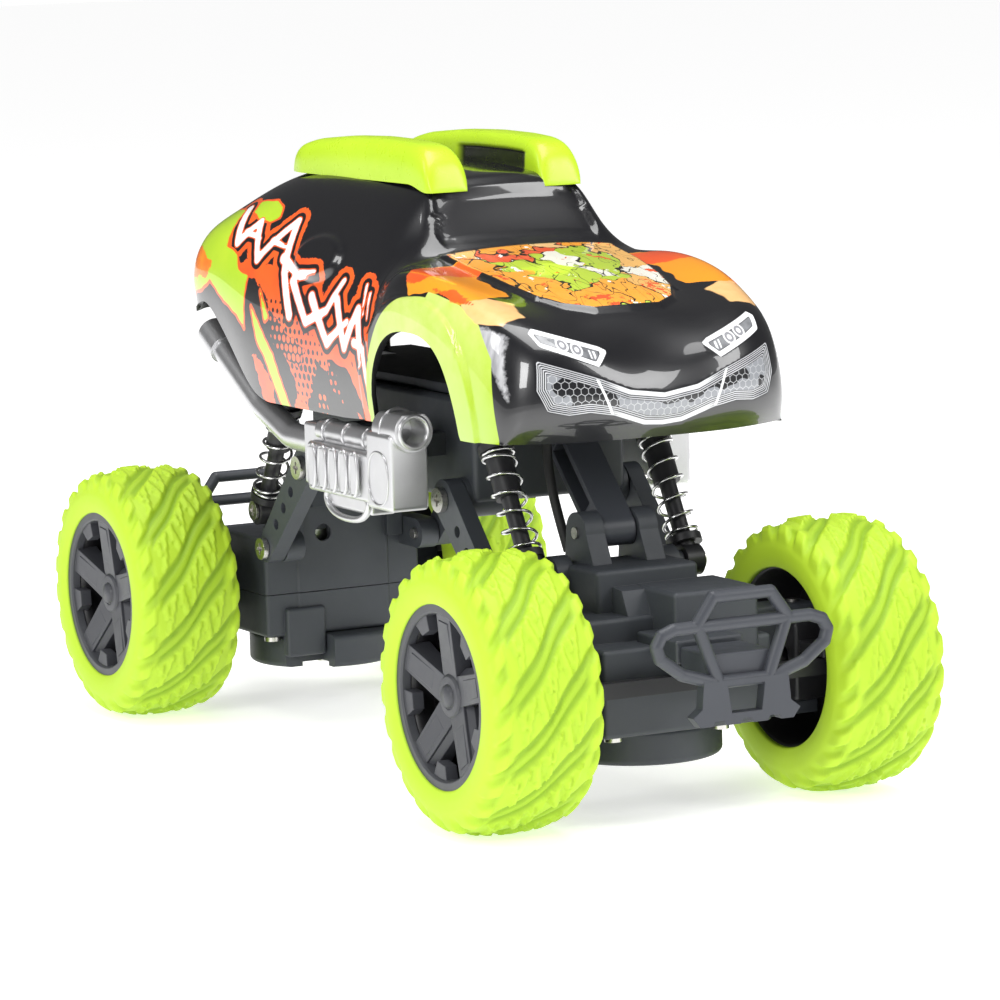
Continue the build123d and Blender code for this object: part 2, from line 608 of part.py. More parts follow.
def chassis_deck():
    """The plate over the tub, with hanging lugs for both upper links and all four shocks."""
    deck = block((-68.0, 92.0), (-19.0, 19.0), DECK_Z)
    for way in (1, -1):
        slot = sorted((way * 49.0, way * 74.0))
        deck -= block(slot, (-5.1, 5.1), (DECK_Z[0] - 1, DECK_Z[1] + 1))
        link_at = (way * LINK_TOP[0], LINK_TOP[1])
        shock_at = (way * SHOCK_TOP[0], SHOCK_TOP[1])
        for side in (1, -1):
            ear = sorted((side * 5.1, side * 9.0))
            x0, x1 = link_at[0] - 4.6, link_at[0] + 4.6
            deck += block((x0, x1), ear, (link_at[1], DECK_Z[0] + 0.5)) + disc_y(link_at, 4.6, *ear)
            lug = sorted((side * 14.2, side * LUG_Y))
            x0, x1 = shock_at[0] - 4.4, shock_at[0] + 4.4
            deck += block((x0, x1), lug, (shock_at[1], DECK_Z[0] + 0.5)) + disc_y(shock_at, 4.4, *lug)
            deck += disc_y(shock_at, 2.8, side * 16.0, side * BOSS_Y)
        deck -= disc_y(link_at, PIVOT_R + SNUG, -12, 12)
        deck -= disc_y(shock_at, PIVOT_R + SNUG, -30, 30)
    for x, y in POSTS:
        for side in (1, -1):
            deck -= bar((x, side * y, DECK_Z[0] - 1), (x, side * y, DECK_Z[1] + 1), 1.1 + SNUG)
    return deck


def engine(side):
    """A dummy engine: block, five-ribbed cover, cylinder boss, front tube and lower tray."""
    y0, y1 = ENGINE_Y
    body = block(ENGINE_X, (y0, y1 - 2.5), (74.0, 90.5), 0.9)
    body += block((-6.0, 30.0), (y1 - 5.0, y1 - 0.5), (73.0, 86.0), 1.0)
    body += block((30.0, ENGINE_X[1]), (y0, y1), (72.0, 92.0), 1.2)
    for k in range(5):
        x = -3.0 + 6.2 * k
        body += block((x, x + 3.2), (y1 - 3.0, y1 + 0.8), (74.5, 85.5), 0.7)
    body += bar((-4.0, y1 - 5.0, 88.6), (32.0, y1 - 5.0, 88.6), 3.0)
    body += bar((32.8, y1 - 6.0, 92.5), (46.0, y1 - 6.0, 92.5), 5.4)
    body -= bar((38.0, y1 - 6.0, 92.5), (48.0, y1 - 6.0, 92.5), 3.4)
    body += block((2.0, 28.0), (y0 + 1.5, y1 - 2.0), (69.4, 76.0), 1.0)
    body = body & block((-60, 60), (30, 46), (60, 97))
    return body if side > 0 else flip_y(body)


def exhaust(side):
    """The pipe from the engine's rear face up to an open mouth under the tail."""
    y = 36.8
    route = [(-12.0, y, 84.5), (-28.0, y, 84.5), (-46.0, y, 91.0), (-78.0, y, 109.0)]
    path = FilletPolyline(*route, radius=14.0)
    pipe = sweep(Plane(origin=path @ 0, z_dir=path % 0) * Circle(3.6), path=path)
    mouth = bar((-70.0, y, 104.5), (-78.0, y, 109.0), 4.3)
    pipe += mouth
    pipe -= bar((-72.0, y, 105.62), (-80.0, y, 110.12), 3.2)
    return pipe if side > 0 else flip_y(pipe)


# ---------------------------------------------------------------- body shell
# Each station is x, then the half outline from the lower edge up to the centre line.
STATIONS = [
    (-89.0, [(35.5, 115), (37.0, 121), (36.5, 128), (34.0, 133), (28, 136.0), (20, 137.6), (10, 138.4)]),
    (-84.0, [(38.0, 115), (40.0, 122), (39.8, 130), (36.5, 136), (30, 139.0), (22, 141.2), (11, 142.4)]),
    (-72.0, [(39.0, 117), (41.0, 124), (40.8, 132), (37.5, 138), (31, 141.6), (24, 145.0), (12, 146.8)]),
    (-57.0, [(40.0, 105), (41.8, 117), (41.3, 129), (38.0, 138), (31, 144.2), (24, 150.2), (12, 151.8)]),
    (-42.0, [(40.0, 93), (42.0, 109), (41.2, 125), (38.0, 136), (31, 145.0), (24, 153.0), (12, 154.8)]),
    (-20.0, [(40.0, 93), (42.0, 107), (41.0, 122), (37.5, 134), (30, 145.0), (23, 154.0), (12, 156.0)]),
    (5.0, [(40.0, 93), (42.0, 107), (41.0, 121), (37.0, 133), (29, 144.0), (22.4, 154.0), (12, 156.0)]),
    (26.0, [(40.0, 94), (42.0, 107), (41.2, 120), (38.0, 131), (28, 141.0), (21.8, 153.0), (11, 154.6)]),
    (37.5, [(40.0, 94), (42.2, 107), (42.0, 121), (40.2, 131.5), (34, 134.8), (26, 136.2), (13, 136.6)]),
    (50.0, [(40.5, 94), (42.4, 107), (42.3, 123), (40.4, 132.5), (34, 134.0), (25, 133.2), (12, 134.4)]),
    (64.0, [(41.0, 94), (42.5, 107), (42.4, 122), (40.4, 131.5), (34, 132.4), (24, 130.4), (12, 131.6)]),
    (78.0, [(41.0, 94), (42.4, 105), (42.0, 118), (39.4, 127.5), (33, 128.6), (22, 126.6), (12, 127.8)]),
    (90.0, [(40.6, 94), (41.6, 103), (40.6, 113), (37.4, 121.0), (30, 122.6), (20, 121.6), (10, 122.8)]),
    (99.0, [(38.4, 94), (39.0, 102), (37.4, 111), (33.5, 117.0), (27, 118.6), (18, 118.4), (9, 119.0)]),
    (105.0, [(31.5, 94.4), (32.0, 102), (30.6, 109), (27.0, 113.0), (22, 114.6), (15, 115.0), (7, 115.4)]),
    (108.2, [(20.0, 95.6), (20.4, 102), (19.4, 107), (17.0, 109.6), (14, 110.6), (9, 111.0), (4, 111.2)]),
]
ARCH = [(29.0, 88), (31.5, 97), (36.5, 107), (43.0, 114.5), (51.0, 118.6), (58.0, 118.6), (65.5, 115.0),
        (72.5, 107.5), (77.5, 98), (80.0, 88)]


def section_face(x, half):
    peak = half[-1][1] + 0.3
    points = [Vector(x, y, z) for y, z in half] + [Vector(x, 0, peak)]
    points += [Vector(x, -y, z) for y, z in reversed(half)]
    return Wire.make_polygon(points, close=True)


def inner_half(half, wall):
    """The same outline moved in by the wall, and open downwards."""
    inner = []
    for k, (y, z) in enumerate(half):
        down = 0.0 if k < 2 else wall * (0.3, 0.7, 1.0, 1.0, 1.0)[k - 2]
        across = wall if k < 5 else wall * 0.7
        inner.append((y - across, z - down))
    inner[0] = (inner[0][0], inner[0][1] - 9.0)
    return inner


def body_outer():
    return Solid.make_loft([section_face(x, half) for x, half in STATIONS], ruled=True)


def body_inner():
    wires = []
    for k, (x, half) in enumerate(STATIONS):
        shift = 2.0 if k == 0 else (-1.8 if k == len(STATIONS) - 1 else 0.0)
        wires.append(section_face(x + shift, inner_half(half, SHELL_T)))
    return Solid.make_loft(wires, ruled=True)


def body_shell():
    outer = body_outer()
    shell = outer - body_inner()
    for side in (1, -1):
        y0, y1 = sorted((side * 24.0, side * 50.0))
        shell -= prism_y(ARCH, y0, y1)
    shell = largest(shell)
    for x, y in POSTS:
        for side in (1, -1):
            post = bar((x, side * y, DECK_Z[1]), (x, side * y, 150.0), 3.0)
            post -= bar((x, side * y, DECK_Z[1] - 1), (x, side * y, DECK_Z[1] + 9), 1.1 + SNUG)
            shell += post & outer
    return shell


def roof_pods():
    """Two long raised fairings on the roof, each a tapered block with rounded ends."""
    wires = []
    outline = [(-56.0, 0.4, 0.0), (-50.0, 0.75, 4.6), (-38.0, 0.95, 7.6), (0.0, 1.0, 8.6),
               (20.0, 1.0, 8.6), (25.0, 0.95, 7.8), (28.0, 0.85, 0.2)]
    for x, wide, tall in outline:
        base = 151.0 if x < -30 else 152.0
        crest = 156.2 + tall if x > -45 else 154.0 + tall
        y_mid, half = 16.6, 6.2 * wide
        points = [Vector(x, y_mid - half, base), Vector(x, y_mid + half, base - 1.0),
                  Vector(x, y_mid + half * 0.75, crest - 1.4), Vector(x, y_mid + half * 0.5, crest),
                  Vector(x, y_mid - half * 0.7, crest), Vector(x, y_mid - half * 0.95, crest - 1.2)]
        wires.append(Wire.make_polygon(points, close=True))
    pod = Solid.make_loft(wires, ruled=True) - body_outer()
    pod = largest(pod)
    return [pod, flip_y(pod)]


# ---------------------------------------------------------------- inside the chassis
def battery_pack():
    cells = None
    for k in range(3):
        y = -12.0 + 12.0 * k
        cell = bar((-22.0, y, 83.0), (22.0, y, 83.0), 5.8)
        cells = cell if cells is None else cells + cell
    return cells + block((-22.0, 22.0), (-13.0, 13.0), (79.0, 87.0))


def battery_cover():
    cover = block((-25.7, 25.7), (-14.7, 14.7), (TUB_Z - 0.6, TUB_Z + 1.6), 0.4)
    for k in range(5):
        x = -14.0 + 7.0 * k
        cover -= block((x, x + 2.0), (-11.0, 11.0), (TUB_Z - 1.6, TUB_Z - 0.1))
    return cover


def circuit_board():
    board = block((-40.0, 40.0), (-17.0, 17.0), (93.0, 94.6))
    for x, y, wide, deep, tall in ((-20, -6, 14, 10, 2.2), (8, 4, 9, 9, 2.0), (28, -8, 7, 5, 3.0)):
        board += block((x, x + wide), (y, y + deep), (94.6, 94.6 + tall))
    return board


def switch_knob():
    knob = block((35.0, 37.0), (-1.4, 1.4), (TUB_Z - 1.6, TUB_Z + 3.4))
    return knob + block((33.0, 39.0), (-3.0, 3.0), (TUB_Z + 2.2, TUB_Z + 3.6))


SLEEVE_POINTS = [(62.0, -8.0, 99.4), (61.6, -8.2, 92.0), (62.2, -8.4, 84.0), (64.4, -8.3, 76.0),
                 (67.2, -7.8, 68.6), (69.8, -7.2, 62.0)]
CORE_POINTS = [(69.8, -7.2, 62.0), (71.3, -6.8, 58.0), (73.4, -6.3, 54.2), (77.2, -6.0, 50.6)]


def lead(points, radius):
    """A round lead along straight runs joined by arcs as large as the runs allow."""
    places = [Vector(*p) for p in points]
    radii = []
    for before, at, after in zip(places[:-2], places[1:-1], places[2:]):
        turn = radians((at - before).get_angle(after - at))
        shorter = min((at - before).length, (after - at).length)
        radii.append(0.45 * shorter / tan(turn / 2))
    path = FilletPolyline(*points, radius=radii)
    print("lead radii", [round(r, 1) for r in radii], "length", round(path.length, 1))
    return sweep(Plane(origin=path @ 0, z_dir=path % 0) * Circle(radius), path=path)


# ---------------------------------------------------------------- fasteners
def chassis_screws():
    screws = []
    for side in (1, -1):
        for way in (1, -1):
            at = (way * ARM_TOP[0], ARM_TOP[1])
            screws.append(screw_y(at, side * 15.0, side * ARM_HEAD_Y, 3.2, 1.6))
            top = (way * SHOCK_TOP[0], SHOCK_TOP[1])
            screws.append(screw_y(top, side * 15.5, side * (SHOCK_Y + SHOCK_EYE_W / 2 + 0.3), 2.8, 1.2))
        for x, y in POSTS:
            screws.append(screw_z(x, side * y, DECK_Z[0], DECK_Z[1] + 7.0))
    for way in (1, -1):
        screws.append(disc_y((way * LINK_TOP[0], LINK_TOP[1]), PIVOT_R, -9.6, 9.6))
    return screws


def axle_screws():
    """Link and shock screws of one axle unit, the link's pin, the idler's pin and case screws."""
    pins = [disc_y(LINK_FOOT, PIVOT_R, -11.0, 11.0), disc_y(IDLER_AT, PIVOT_R, 9.5, 23.0)]
    for side in (1, -1):
        pins.append(screw_y(ARM_FOOT, side * 17.0, side * ARM_HEAD_Y, 3.0, 1.5))
        pins.append(screw_y(SHOCK_FOOT, side * 15.5, side * (SHOCK_Y + SHOCK_EYE_W / 2 + 0.2), 2.7, 0.8))
    pins.append(screw_z(*CASE_SCREWS[0], 22.0, 38.0, 2.2))
    pins.append(screw_z(*CASE_SCREWS[1], 22.0, 31.0, 2.2))
    pins.append(screw_z(*CASE_SCREWS[2], 22.0, 38.0, 2.2))
    pins.append(screw_z(*COVER_AT, COVER_Z[0] + 0.2, COVER_Z[1], 2.2))
    return pins


# ---------------------------------------------------------------- writing the nodes
def save(name, shape):
    if isinstance(shape, list):
        shape = group(shape)
    export_step(shape, f"parts/{name}.step")


def main():
    os.makedirs("parts", exist_ok=True)
    upper, lower = axle_case(True)
    rear_upper, rear_lower = axle_case(False)
    save("front_axle_case_upper", upper)
    save("front_axle_case_lower", lower)
    save("rear_axle_case_upper", flip_x(rear_upper))
    save("rear_axle_case_lower", flip_x(rear_lower))
    for name, shape in (("gear_cover", gear_cover()), ("motor", motor()), ("bumper", bumper()),
                        ("idler_gear", idler_gear()), ("motor_pinion", motor_pinion()),
                        ("upper_link", upper_link())):
        save("front_" + name, shape)
        save("rear_" + name, flip_x(shape))
    arm = lower_arm()
    for name, turn in (("front", lambda s: s), ("rear", flip_x)):
        save(name + "_arm_left", turn(arm))
        save(name + "_arm_right", turn(flip_y(arm)))
    for name, shape in (("shock_barrels", shock_barrel()), ("shock_rods", shock_rod()),
                        ("shock_springs", shock_spring())):
        pair = [shape, flip_y(shape)]
        save("front_" + name, pair)
        save("rear_" + name, [flip_x(s) for s in pair])
    left_tyre, left_rim = tyre(1), rim(1)
    for name, turn in (("front_left", lambda s: s), ("front_right", flip_y), ("rear_left", flip_x),
                       ("rear_right", lambda s: flip_x(flip_y(s)))):
        save(name + "_tyre", turn(left_tyre))
        save(name + "_rim", turn(left_rim))
    for name, side in (("left", 1), ("right", -1)):
        save("front_wheel_cup_" + name, wheel_cup(side))
        save("steering_knuckle_" + name, knuckle(side))
        save("engine_" + name, engine(side))
        save("exhaust_" + name, exhaust(side))
    save("front_drive_shaft", front_drive_shaft())
    save("rear_axle_shaft", rear_axle_shaft())
    save("steering_rack", steering_rack())
    save("steering_pinion", rack_pinion())
    save("steering_motor", steering_motor())
    save("front_axle_screws", axle_screws() + kingpins())
    save("rear_axle_screws", [flip_x(s) for s in axle_screws()])
    save("chassis_screws", chassis_screws())
    save("chassis_tub", chassis_tub())
    save("chassis_deck", chassis_deck())
    save("body_shell", body_shell())
    save("roof_pods", roof_pods())
    save("battery_pack", battery_pack())
    save("battery_cover", battery_cover())
    save("circuit_board", circuit_board())
    save("switch_knob", switch_knob())
    save("front_lead_sleeve", lead(SLEEVE_POINTS, 1.25))
    save("front_lead_core", lead(CORE_POINTS, 0.55))


main()
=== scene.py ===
import json
from math import cos, pi, radians, sin

import bmesh
import bpy
import numpy as np
from mathutils import Matrix, Vector


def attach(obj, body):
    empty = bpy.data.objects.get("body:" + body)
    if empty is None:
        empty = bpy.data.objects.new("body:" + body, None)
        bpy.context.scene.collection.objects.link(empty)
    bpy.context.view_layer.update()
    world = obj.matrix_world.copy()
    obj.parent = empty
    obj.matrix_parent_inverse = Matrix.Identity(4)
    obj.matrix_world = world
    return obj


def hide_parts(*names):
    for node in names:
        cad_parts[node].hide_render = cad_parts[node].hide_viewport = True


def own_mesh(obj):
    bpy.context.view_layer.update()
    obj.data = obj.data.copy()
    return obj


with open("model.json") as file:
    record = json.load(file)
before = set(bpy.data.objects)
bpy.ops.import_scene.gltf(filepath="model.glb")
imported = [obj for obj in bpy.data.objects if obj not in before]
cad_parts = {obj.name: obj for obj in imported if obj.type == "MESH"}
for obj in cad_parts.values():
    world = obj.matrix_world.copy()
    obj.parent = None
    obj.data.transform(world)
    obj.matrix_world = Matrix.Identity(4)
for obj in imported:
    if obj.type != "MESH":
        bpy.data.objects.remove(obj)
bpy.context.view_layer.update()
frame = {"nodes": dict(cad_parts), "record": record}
NODES = frame["nodes"]

# All shapes below are worked out in millimetres and written to Blender in metres.
MM = 0.001
WHEEL_X = 104.0
WHEEL_Y = 48.3
WHEEL_Z = 35.0


# ---------------------------------------------------------------- camera, light, floor
# Strength of the plain white surroundings as fill light, as the backdrop, and in reflections.
FILL_LIGHT = 0.62
BACKDROP_LIGHT = 1.0
REFLECTED_LIGHT = 0.10


# The camera, fitted to the photograph: from the car to it, level to its right, its place and roll.
CAMERA_BACK = (0.8788, -0.4584, 0.1328)
CAMERA_LEVEL = (0.4625, 0.8866, 0.0)
CAMERA_PLACE = (1.1671, -0.5987, 0.2425)
CAMERA_ROLL = radians(-1.66)
CAMERA_LENS = 179.1
FLOOR_HALF = 6.0


def make_camera():
    back, level = Vector(CAMERA_BACK), Vector(CAMERA_LEVEL)
    rise = back.cross(level)
    roll = CAMERA_ROLL
    right = cos(roll) * level + sin(roll) * rise
    up = -sin(roll) * level + cos(roll) * rise
    data = bpy.data.cameras.new("camera")
    data.lens = CAMERA_LENS
    data.sensor_width = 36.0
    data.clip_end = 20.0
    camera = bpy.data.objects.new("camera", data)
    bpy.context.scene.collection.objects.link(camera)
    columns = (*right, 0), (*up, 0), (*back, 0), (*CAMERA_PLACE, 1)
    camera.matrix_world = Matrix(columns).transposed()
    bpy.context.scene.camera = camera


def area_light(name, place, target, size, power):
    data = bpy.data.lights.new(name, "AREA")
    data.shape = "RECTANGLE"
    data.size, data.size_y = size
    data.energy = power
    light = bpy.data.objects.new(name, data)
    bpy.context.scene.collection.objects.link(light)
    light.location = place
    light.rotation_euler = (Vector(target) - Vector(place)).to_track_quat("-Z", "Y").to_euler()


def make_studio():
    world = bpy.data.worlds.new("studio")
    world.use_nodes = True
    tree = world.node_tree
    surroundings = tree.nodes["Background"]
    surroundings.inputs["Color"].default_value = (1.0, 1.0, 1.0, 1)
    rays = tree.nodes.new("ShaderNodeLightPath")
    backdrop = tree.nodes.new("ShaderNodeMapRange")
    backdrop.inputs["To Min"].default_value = FILL_LIGHT
    backdrop.inputs["To Max"].default_value = BACKDROP_LIGHT
    tree.links.new(rays.outputs["Is Camera Ray"], backdrop.inputs["Value"])
    reflected = tree.nodes.new("ShaderNodeMapRange")
    reflected.inputs["To Max"].default_value = REFLECTED_LIGHT
    tree.links.new(rays.outputs["Is Glossy Ray"], reflected.inputs["Value"])
    tree.links.new(backdrop.outputs["Result"], reflected.inputs["To Min"])
    tree.links.new(reflected.outputs["Result"], surroundings.inputs["Strength"])
    bpy.context.scene.world = world
    centre = (0, 0, 0.08)
    area_light("overhead", (0.15, 0.0, 1.1), centre, (0.7, 0.9), 10.0)
    area_light("front_left", (1.0, 0.75, 0.75), centre, (0.35, 0.7), 6.0)
    area_light("front_right", (0.75, -1.0, 0.55), centre, (0.30, 0.45), 6.0)
    area_light("side_strip", (-0.35, -1.2, 0.9), centre, (0.25, 0.6), 3.5)
    mesh = bpy.data.meshes.new("floor")
    corners = [(-1, -1), (1, -1), (1, 1), (-1, 1)]
    mesh.from_pydata([(FLOOR_HALF * x, FLOOR_HALF * y, 0) for x, y in corners], [], [(0, 1, 2, 3)])
    floor = bpy.data.objects.new("floor", mesh)
    bpy.context.scene.collection.objects.link(floor)
    paint = bpy.data.materials.new("floor_pale")
    paint.use_nodes = True
    shader = paint.node_tree.nodes["Principled BSDF"]
    shader.inputs["Base Color"].default_value = (0.93, 0.93, 0.93, 1)
    shader.inputs["Roughness"].default_value = 0.35
    shader.inputs["Emission Color"].default_value = (1, 1, 1, 1)
    shader.inputs["Emission Strength"].default_value = 0.55
    shader.inputs["Specular IOR Level"].default_value = 0.15
    mesh.materials.append(paint)
    bpy.context.scene.view_settings.view_transform = "Standard"


# ---------------------------------------------------------------- node helpers
class Graph:
    """Short calls for the node tree of one material."""

    def __init__(self, name):
        self.material = bpy.data.materials.new(name)
        self.material.use_nodes = True
        self.tree = self.material.node_tree
        self.shader = self.tree.nodes["Principled BSDF"]
        self.coordinates = None
        self.painted = (0.006, 0.006, 0.008)

    def node(self, kind, **settings):
        made = self.tree.nodes.new(kind)
        for key, value in settings.items():
            setattr(made, key, value)
        return made

    def put(self, socket, value):
        if isinstance(value, bpy.types.NodeSocket):
            self.tree.links.new(value, socket)
        else:
            socket.default_value = value

    def set(self, **values):
        for key, value in values.items():
            self.put(self.shader.inputs[key.replace("_", " ")], value)

    def math(self, operation, first, second=None, third=None, clamp=False):
        made = self.node("ShaderNodeMath", operation=operation, use_clamp=clamp)
        for socket, value in zip(made.inputs, (first, second, third)):
            if value is not None:
                self.put(socket, value)
        return made.outputs[0]

    def times(self, first, second):
        return self.math("MULTIPLY", first, second)

    def minus(self, first, second):
        return self.math("SUBTRACT", first, second)

    def radius(self, across, up):
        return self.math("SQRT", self.math("ADD", self.times(across, across), self.times(up, up)))

    def layer(self, mask, colour):
        """Paints a colour over what is already painted, where the mask is 1."""
        self.painted = self.mix(mask, self.painted, colour)

    def place(self):
        """The rest position in millimetres, as x, y, z sockets."""
        if self.coordinates is None:
            source = self.node("ShaderNodeTexCoord").outputs["Object"]
            scaled = self.node("ShaderNodeVectorMath", operation="SCALE")
            self.put(scaled.inputs[0], source)
            scaled.inputs["Scale"].default_value = 1 / MM
            split = self.node("ShaderNodeSeparateXYZ")
            self.put(split.inputs[0], scaled.outputs[0])
            self.coordinates = [scaled.outputs[0], *split.outputs]
        return self.coordinates

    def noise(self, scale, detail=3.0, rough=0.55, stretch=None):
        """Noise with its features about 1/scale millimetres across."""
        made = self.node("ShaderNodeTexNoise")
        made.inputs["Scale"].default_value = scale
        made.inputs["Detail"].default_value = detail
        made.inputs["Roughness"].default_value = rough
        place = self.place()[0]
        if stretch:
            mapping = self.node("ShaderNodeMapping")
            mapping.inputs["Scale"].default_value = stretch
            self.put(mapping.inputs["Vector"], place)
            place = mapping.outputs[0]
        self.put(made.inputs["Vector"], place)
        return made.outputs["Fac"]

    def attribute(self, name):
        return self.node("ShaderNodeAttribute", attribute_name=name).outputs["Fac"]

    def inside(self, distance, edge=0.0, soft=0.22):
        """1 where the distance is under the edge, 0 past it, with a short ramp between."""
        return self.math("MULTIPLY_ADD", distance, -1 / soft, 0.5 + edge / soft, clamp=True)

    def between(self, distance, low, high, soft=0.15):
        return self.minus(self.inside(distance, high, soft), self.inside(distance, low, soft))

    def mix(self, factor, low, high):
        made = self.node("ShaderNodeMix", data_type="RGBA")
        self.put(made.inputs[0], factor)
        for socket, value in ((made.inputs[6], low), (made.inputs[7], high)):
            self.put(socket, (*value, 1) if isinstance(value, tuple) and len(value) == 3 else value)
        return made.outputs[2]

    def spread(self, value, low, high):
        """Moves a 0 to 1 value into the range low to high."""
        return self.math("MULTIPLY_ADD", value, high - low, low)

    def bump(self, height, strength, distance, rounding=0.0):
        made = self.node("ShaderNodeBump")
        made.inputs["Strength"].default_value = strength
        made.inputs["Distance"].default_value = distance * MM
        self.put(made.inputs["Height"], height)
        if rounding:
            bevel = self.node("ShaderNodeBevel", samples=4)
            bevel.inputs["Radius"].default_value = rounding * MM
            self.put(made.inputs["Normal"], bevel.outputs[0])
        self.put(self.shader.inputs["Normal"], made.outputs[0])


def moulded_plastic(name, colour, rough, vary=0.12, grain=6.0, relief=0.35, rounding=0.25):
    """Moulded plastic: fine grain, slightly uneven colour, and scuffed, shinier high spots."""
    g = Graph(name)
    broad = g.noise(0.08, 4.0)
    fine = g.noise(grain, 2.0)
    light = tuple(min(1.0, c * (1 + vary)) for c in colour)
    dark = tuple(c * (1 - vary) for c in colour)
    g.set(Base_Color=g.mix(broad, dark, light),
          Roughness=g.spread(g.noise(0.35, 3.0), rough - 0.07, rough + 0.09))
    g.bump(fine, relief, 0.02, rounding)
    return g.material


def metal(name, colour, rough, scratch, relief, rounding):
    g = Graph(name)
    streaks = g.noise(1.0, 3.0, stretch=scratch)
    dull = tuple(c * 0.78 for c in colour)
    g.set(Base_Color=g.mix(g.noise(0.25, 4.0), dull, colour), Metallic=1.0,
          Roughness=g.spread(streaks, rough - 0.08, rough + 0.12))
    g.bump(streaks, relief, 0.01, rounding)
    return g.material


def soft_rubber(name, colour, deep):
    """Matt soft rubber: an even colour, with painted shade that darkens the hollows of the tread."""
    g = Graph(name)
    # painted shade: relief mixes from the deep colour in the tread's hollows up to the rubber's own
    # colour on the lugs
    height = g.attribute("relief")
    tone = g.mix(height, deep, colour)
    blotch = g.mix(g.noise(0.05, 3.0), tuple(c * 0.93 for c in colour), colour)
    mixed = g.node("ShaderNodeMix", data_type="RGBA", blend_type="MULTIPLY")
    mixed.inputs[0].default_value = 0.25
    g.put(mixed.inputs[6], tone)
    g.put(mixed.inputs[7], blotch)
    g.set(Base_Color=mixed.outputs[2], Roughness=g.spread(g.noise(0.5, 3.0), 0.54, 0.68))
    g.shader.inputs["Subsurface Weight"].default_value = 0.12
    g.shader.inputs["Subsurface Radius"].default_value = (0.9, 1.0, 0.25)
    g.shader.inputs["Subsurface Scale"].default_value = 0.0015
    g.bump(g.noise(3.5, 3.0), 0.3, 0.03)
    return g.material


# ---------------------------------------------------------------- mesh helpers
def piece(name, verts, faces, body, slot, material, replaces=()):
    mesh = bpy.data.meshes.new(name)
    mesh.from_pydata((np.asarray(verts, float) * MM).tolist(), [], [tuple(f) for f in faces])
    mesh.validate()
    shape = bmesh.new()
    shape.from_mesh(mesh)
    bmesh.ops.recalc_face_normals(shape, faces=shape.faces)
    shape.to_mesh(mesh)
    shape.free()
    mesh.update()
    mesh.polygons.foreach_set("use_smooth", [True] * len(mesh.polygons))
    obj = bpy.data.objects.new(name, mesh)
    bpy.context.scene.collection.objects.link(obj)
    mesh.materials.append(material)
    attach(obj, body)
    if replaces:
        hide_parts(*replaces)
    return obj


def grid_faces(rows, columns, wrap_rows=False, wrap_columns=False, flip=False):
    faces = []
    for r in range(rows if wrap_rows else rows - 1):
        for c in range(columns if wrap_columns else columns - 1):
            r2, c2 = (r + 1) % rows, (c + 1) % columns
            quad = (r * columns + c, r * columns + c2, r2 * columns + c2, r2 * columns + c)
            faces.append(quad[::-1] if flip else quad)
    return faces


def set_attribute(obj, name, values):
    layer = obj.data.attributes.new(name, "FLOAT", "POINT")
    layer.data.foreach_set("value", np.asarray(values, np.float32))


def smoothstep(value, low, high):
    t = np.clip((value - low) / (high - low), 0, 1)
    return t * t * (3 - 2 * t)


def resampled(line, count):
    """The line again as that many points, evenly spaced along it."""
    run = np.concatenate([[0], np.cumsum(np.linalg.norm(np.diff(line, axis=0), axis=1))])
    at = np.linspace(0, run[-1], count)
    return np.stack([np.interp(at, run, column) for column in line.T], 1)


def smoothed(line, rounds):
    for _ in range(rounds):
        line[1:-1] = (line[:-2] + 2 * line[1:-1] + line[2:]) / 4
    return line


def polygon_distance(points, px, py):
    """Signed distance to a closed outline, negative inside."""
    points = np.array(points, float)
    best = np.full(px.shape, 1e9)
    inside = np.zeros(px.shape, bool)
    for (ax, ay), (bx, by) in zip(points, np.roll(points, -1, axis=0)):
        ex, ey = bx - ax, by - ay
        t = np.clip(((px - ax) * ex + (py - ay) * ey) / (ex * ex + ey * ey), 0, 1)
        best = np.minimum(best, np.hypot(px - ax - t * ex, py - ay - t * ey))
        crosses = (ay > py) != (by > py)
        if ay != by:
            inside ^= crosses & (px < (bx - ax) * (py - ay) / (by - ay) + ax)
    return np.where(inside, -best, best)


def stroke_distance(points, px, py, start_w, end_w):
    """Distance to a brush stroke whose half width runs from start_w to end_w."""
    best = np.full(px.shape, 1e9)
    count = len(points) - 1
    for k, ((ax, ay), (bx, by)) in enumerate(zip(points[:-1], points[1:])):
        ex, ey = bx - ax, by - ay
        t = np.clip(((px - ax) * ex + (py - ay) * ey) / (ex * ex + ey * ey), 0, 1)
        width = start_w + (end_w - start_w) * (k + t) / count
        best = np.minimum(best, np.hypot(px - ax - t * ex, py - ay - t * ey) - width)
    return best


# ---------------------------------------------------------------- wheels
LUGS = 24
TYRE_R = 35.0
TYRE_HALF = 15.5
TREAD_TWIST = radians(2.1)      # how far the bars turn for each millimetre across the tyre


def wheel_matrix(side, end):
    """Wheel space (a forward or back, b up, c outward) to the car's frame."""
    columns = np.array([[-side, 0, 0], [0, 0, 1], [0, side, 0]], float)
    return columns, np.array([end * WHEEL_X, side * WHEEL_Y, WHEEL_Z])


def to_car(points, side, end):
    axes, centre = wheel_matrix(side, end)
    return np.asarray(points, float) @ axes + centre


def tyre_outline(count):
    """The carcass from the inner bead round to the outer one: radius, c and outward normal."""
    shape = np.array([(23.0, -14.6), (25.2, -15.3), (28.4, -15.2), (30.8, -13.9), (32.2, -11.6),
                      (33.0, -8.0), (33.3, -4.0), (33.4, 0.0), (33.3, 4.0), (33.0, 8.0), (32.2, 11.6),
                      (30.8, 13.9), (28.4, 15.2), (25.2, 15.3), (23.0, 14.6)])
    line = smoothed(resampled(shape, count), 6)
    slope = np.gradient(line, axis=0)
    normal = np.stack([slope[:, 1], -slope[:, 0]], 1)
    normal /= np.linalg.norm(normal, axis=1, keepdims=True)
    return line, normal


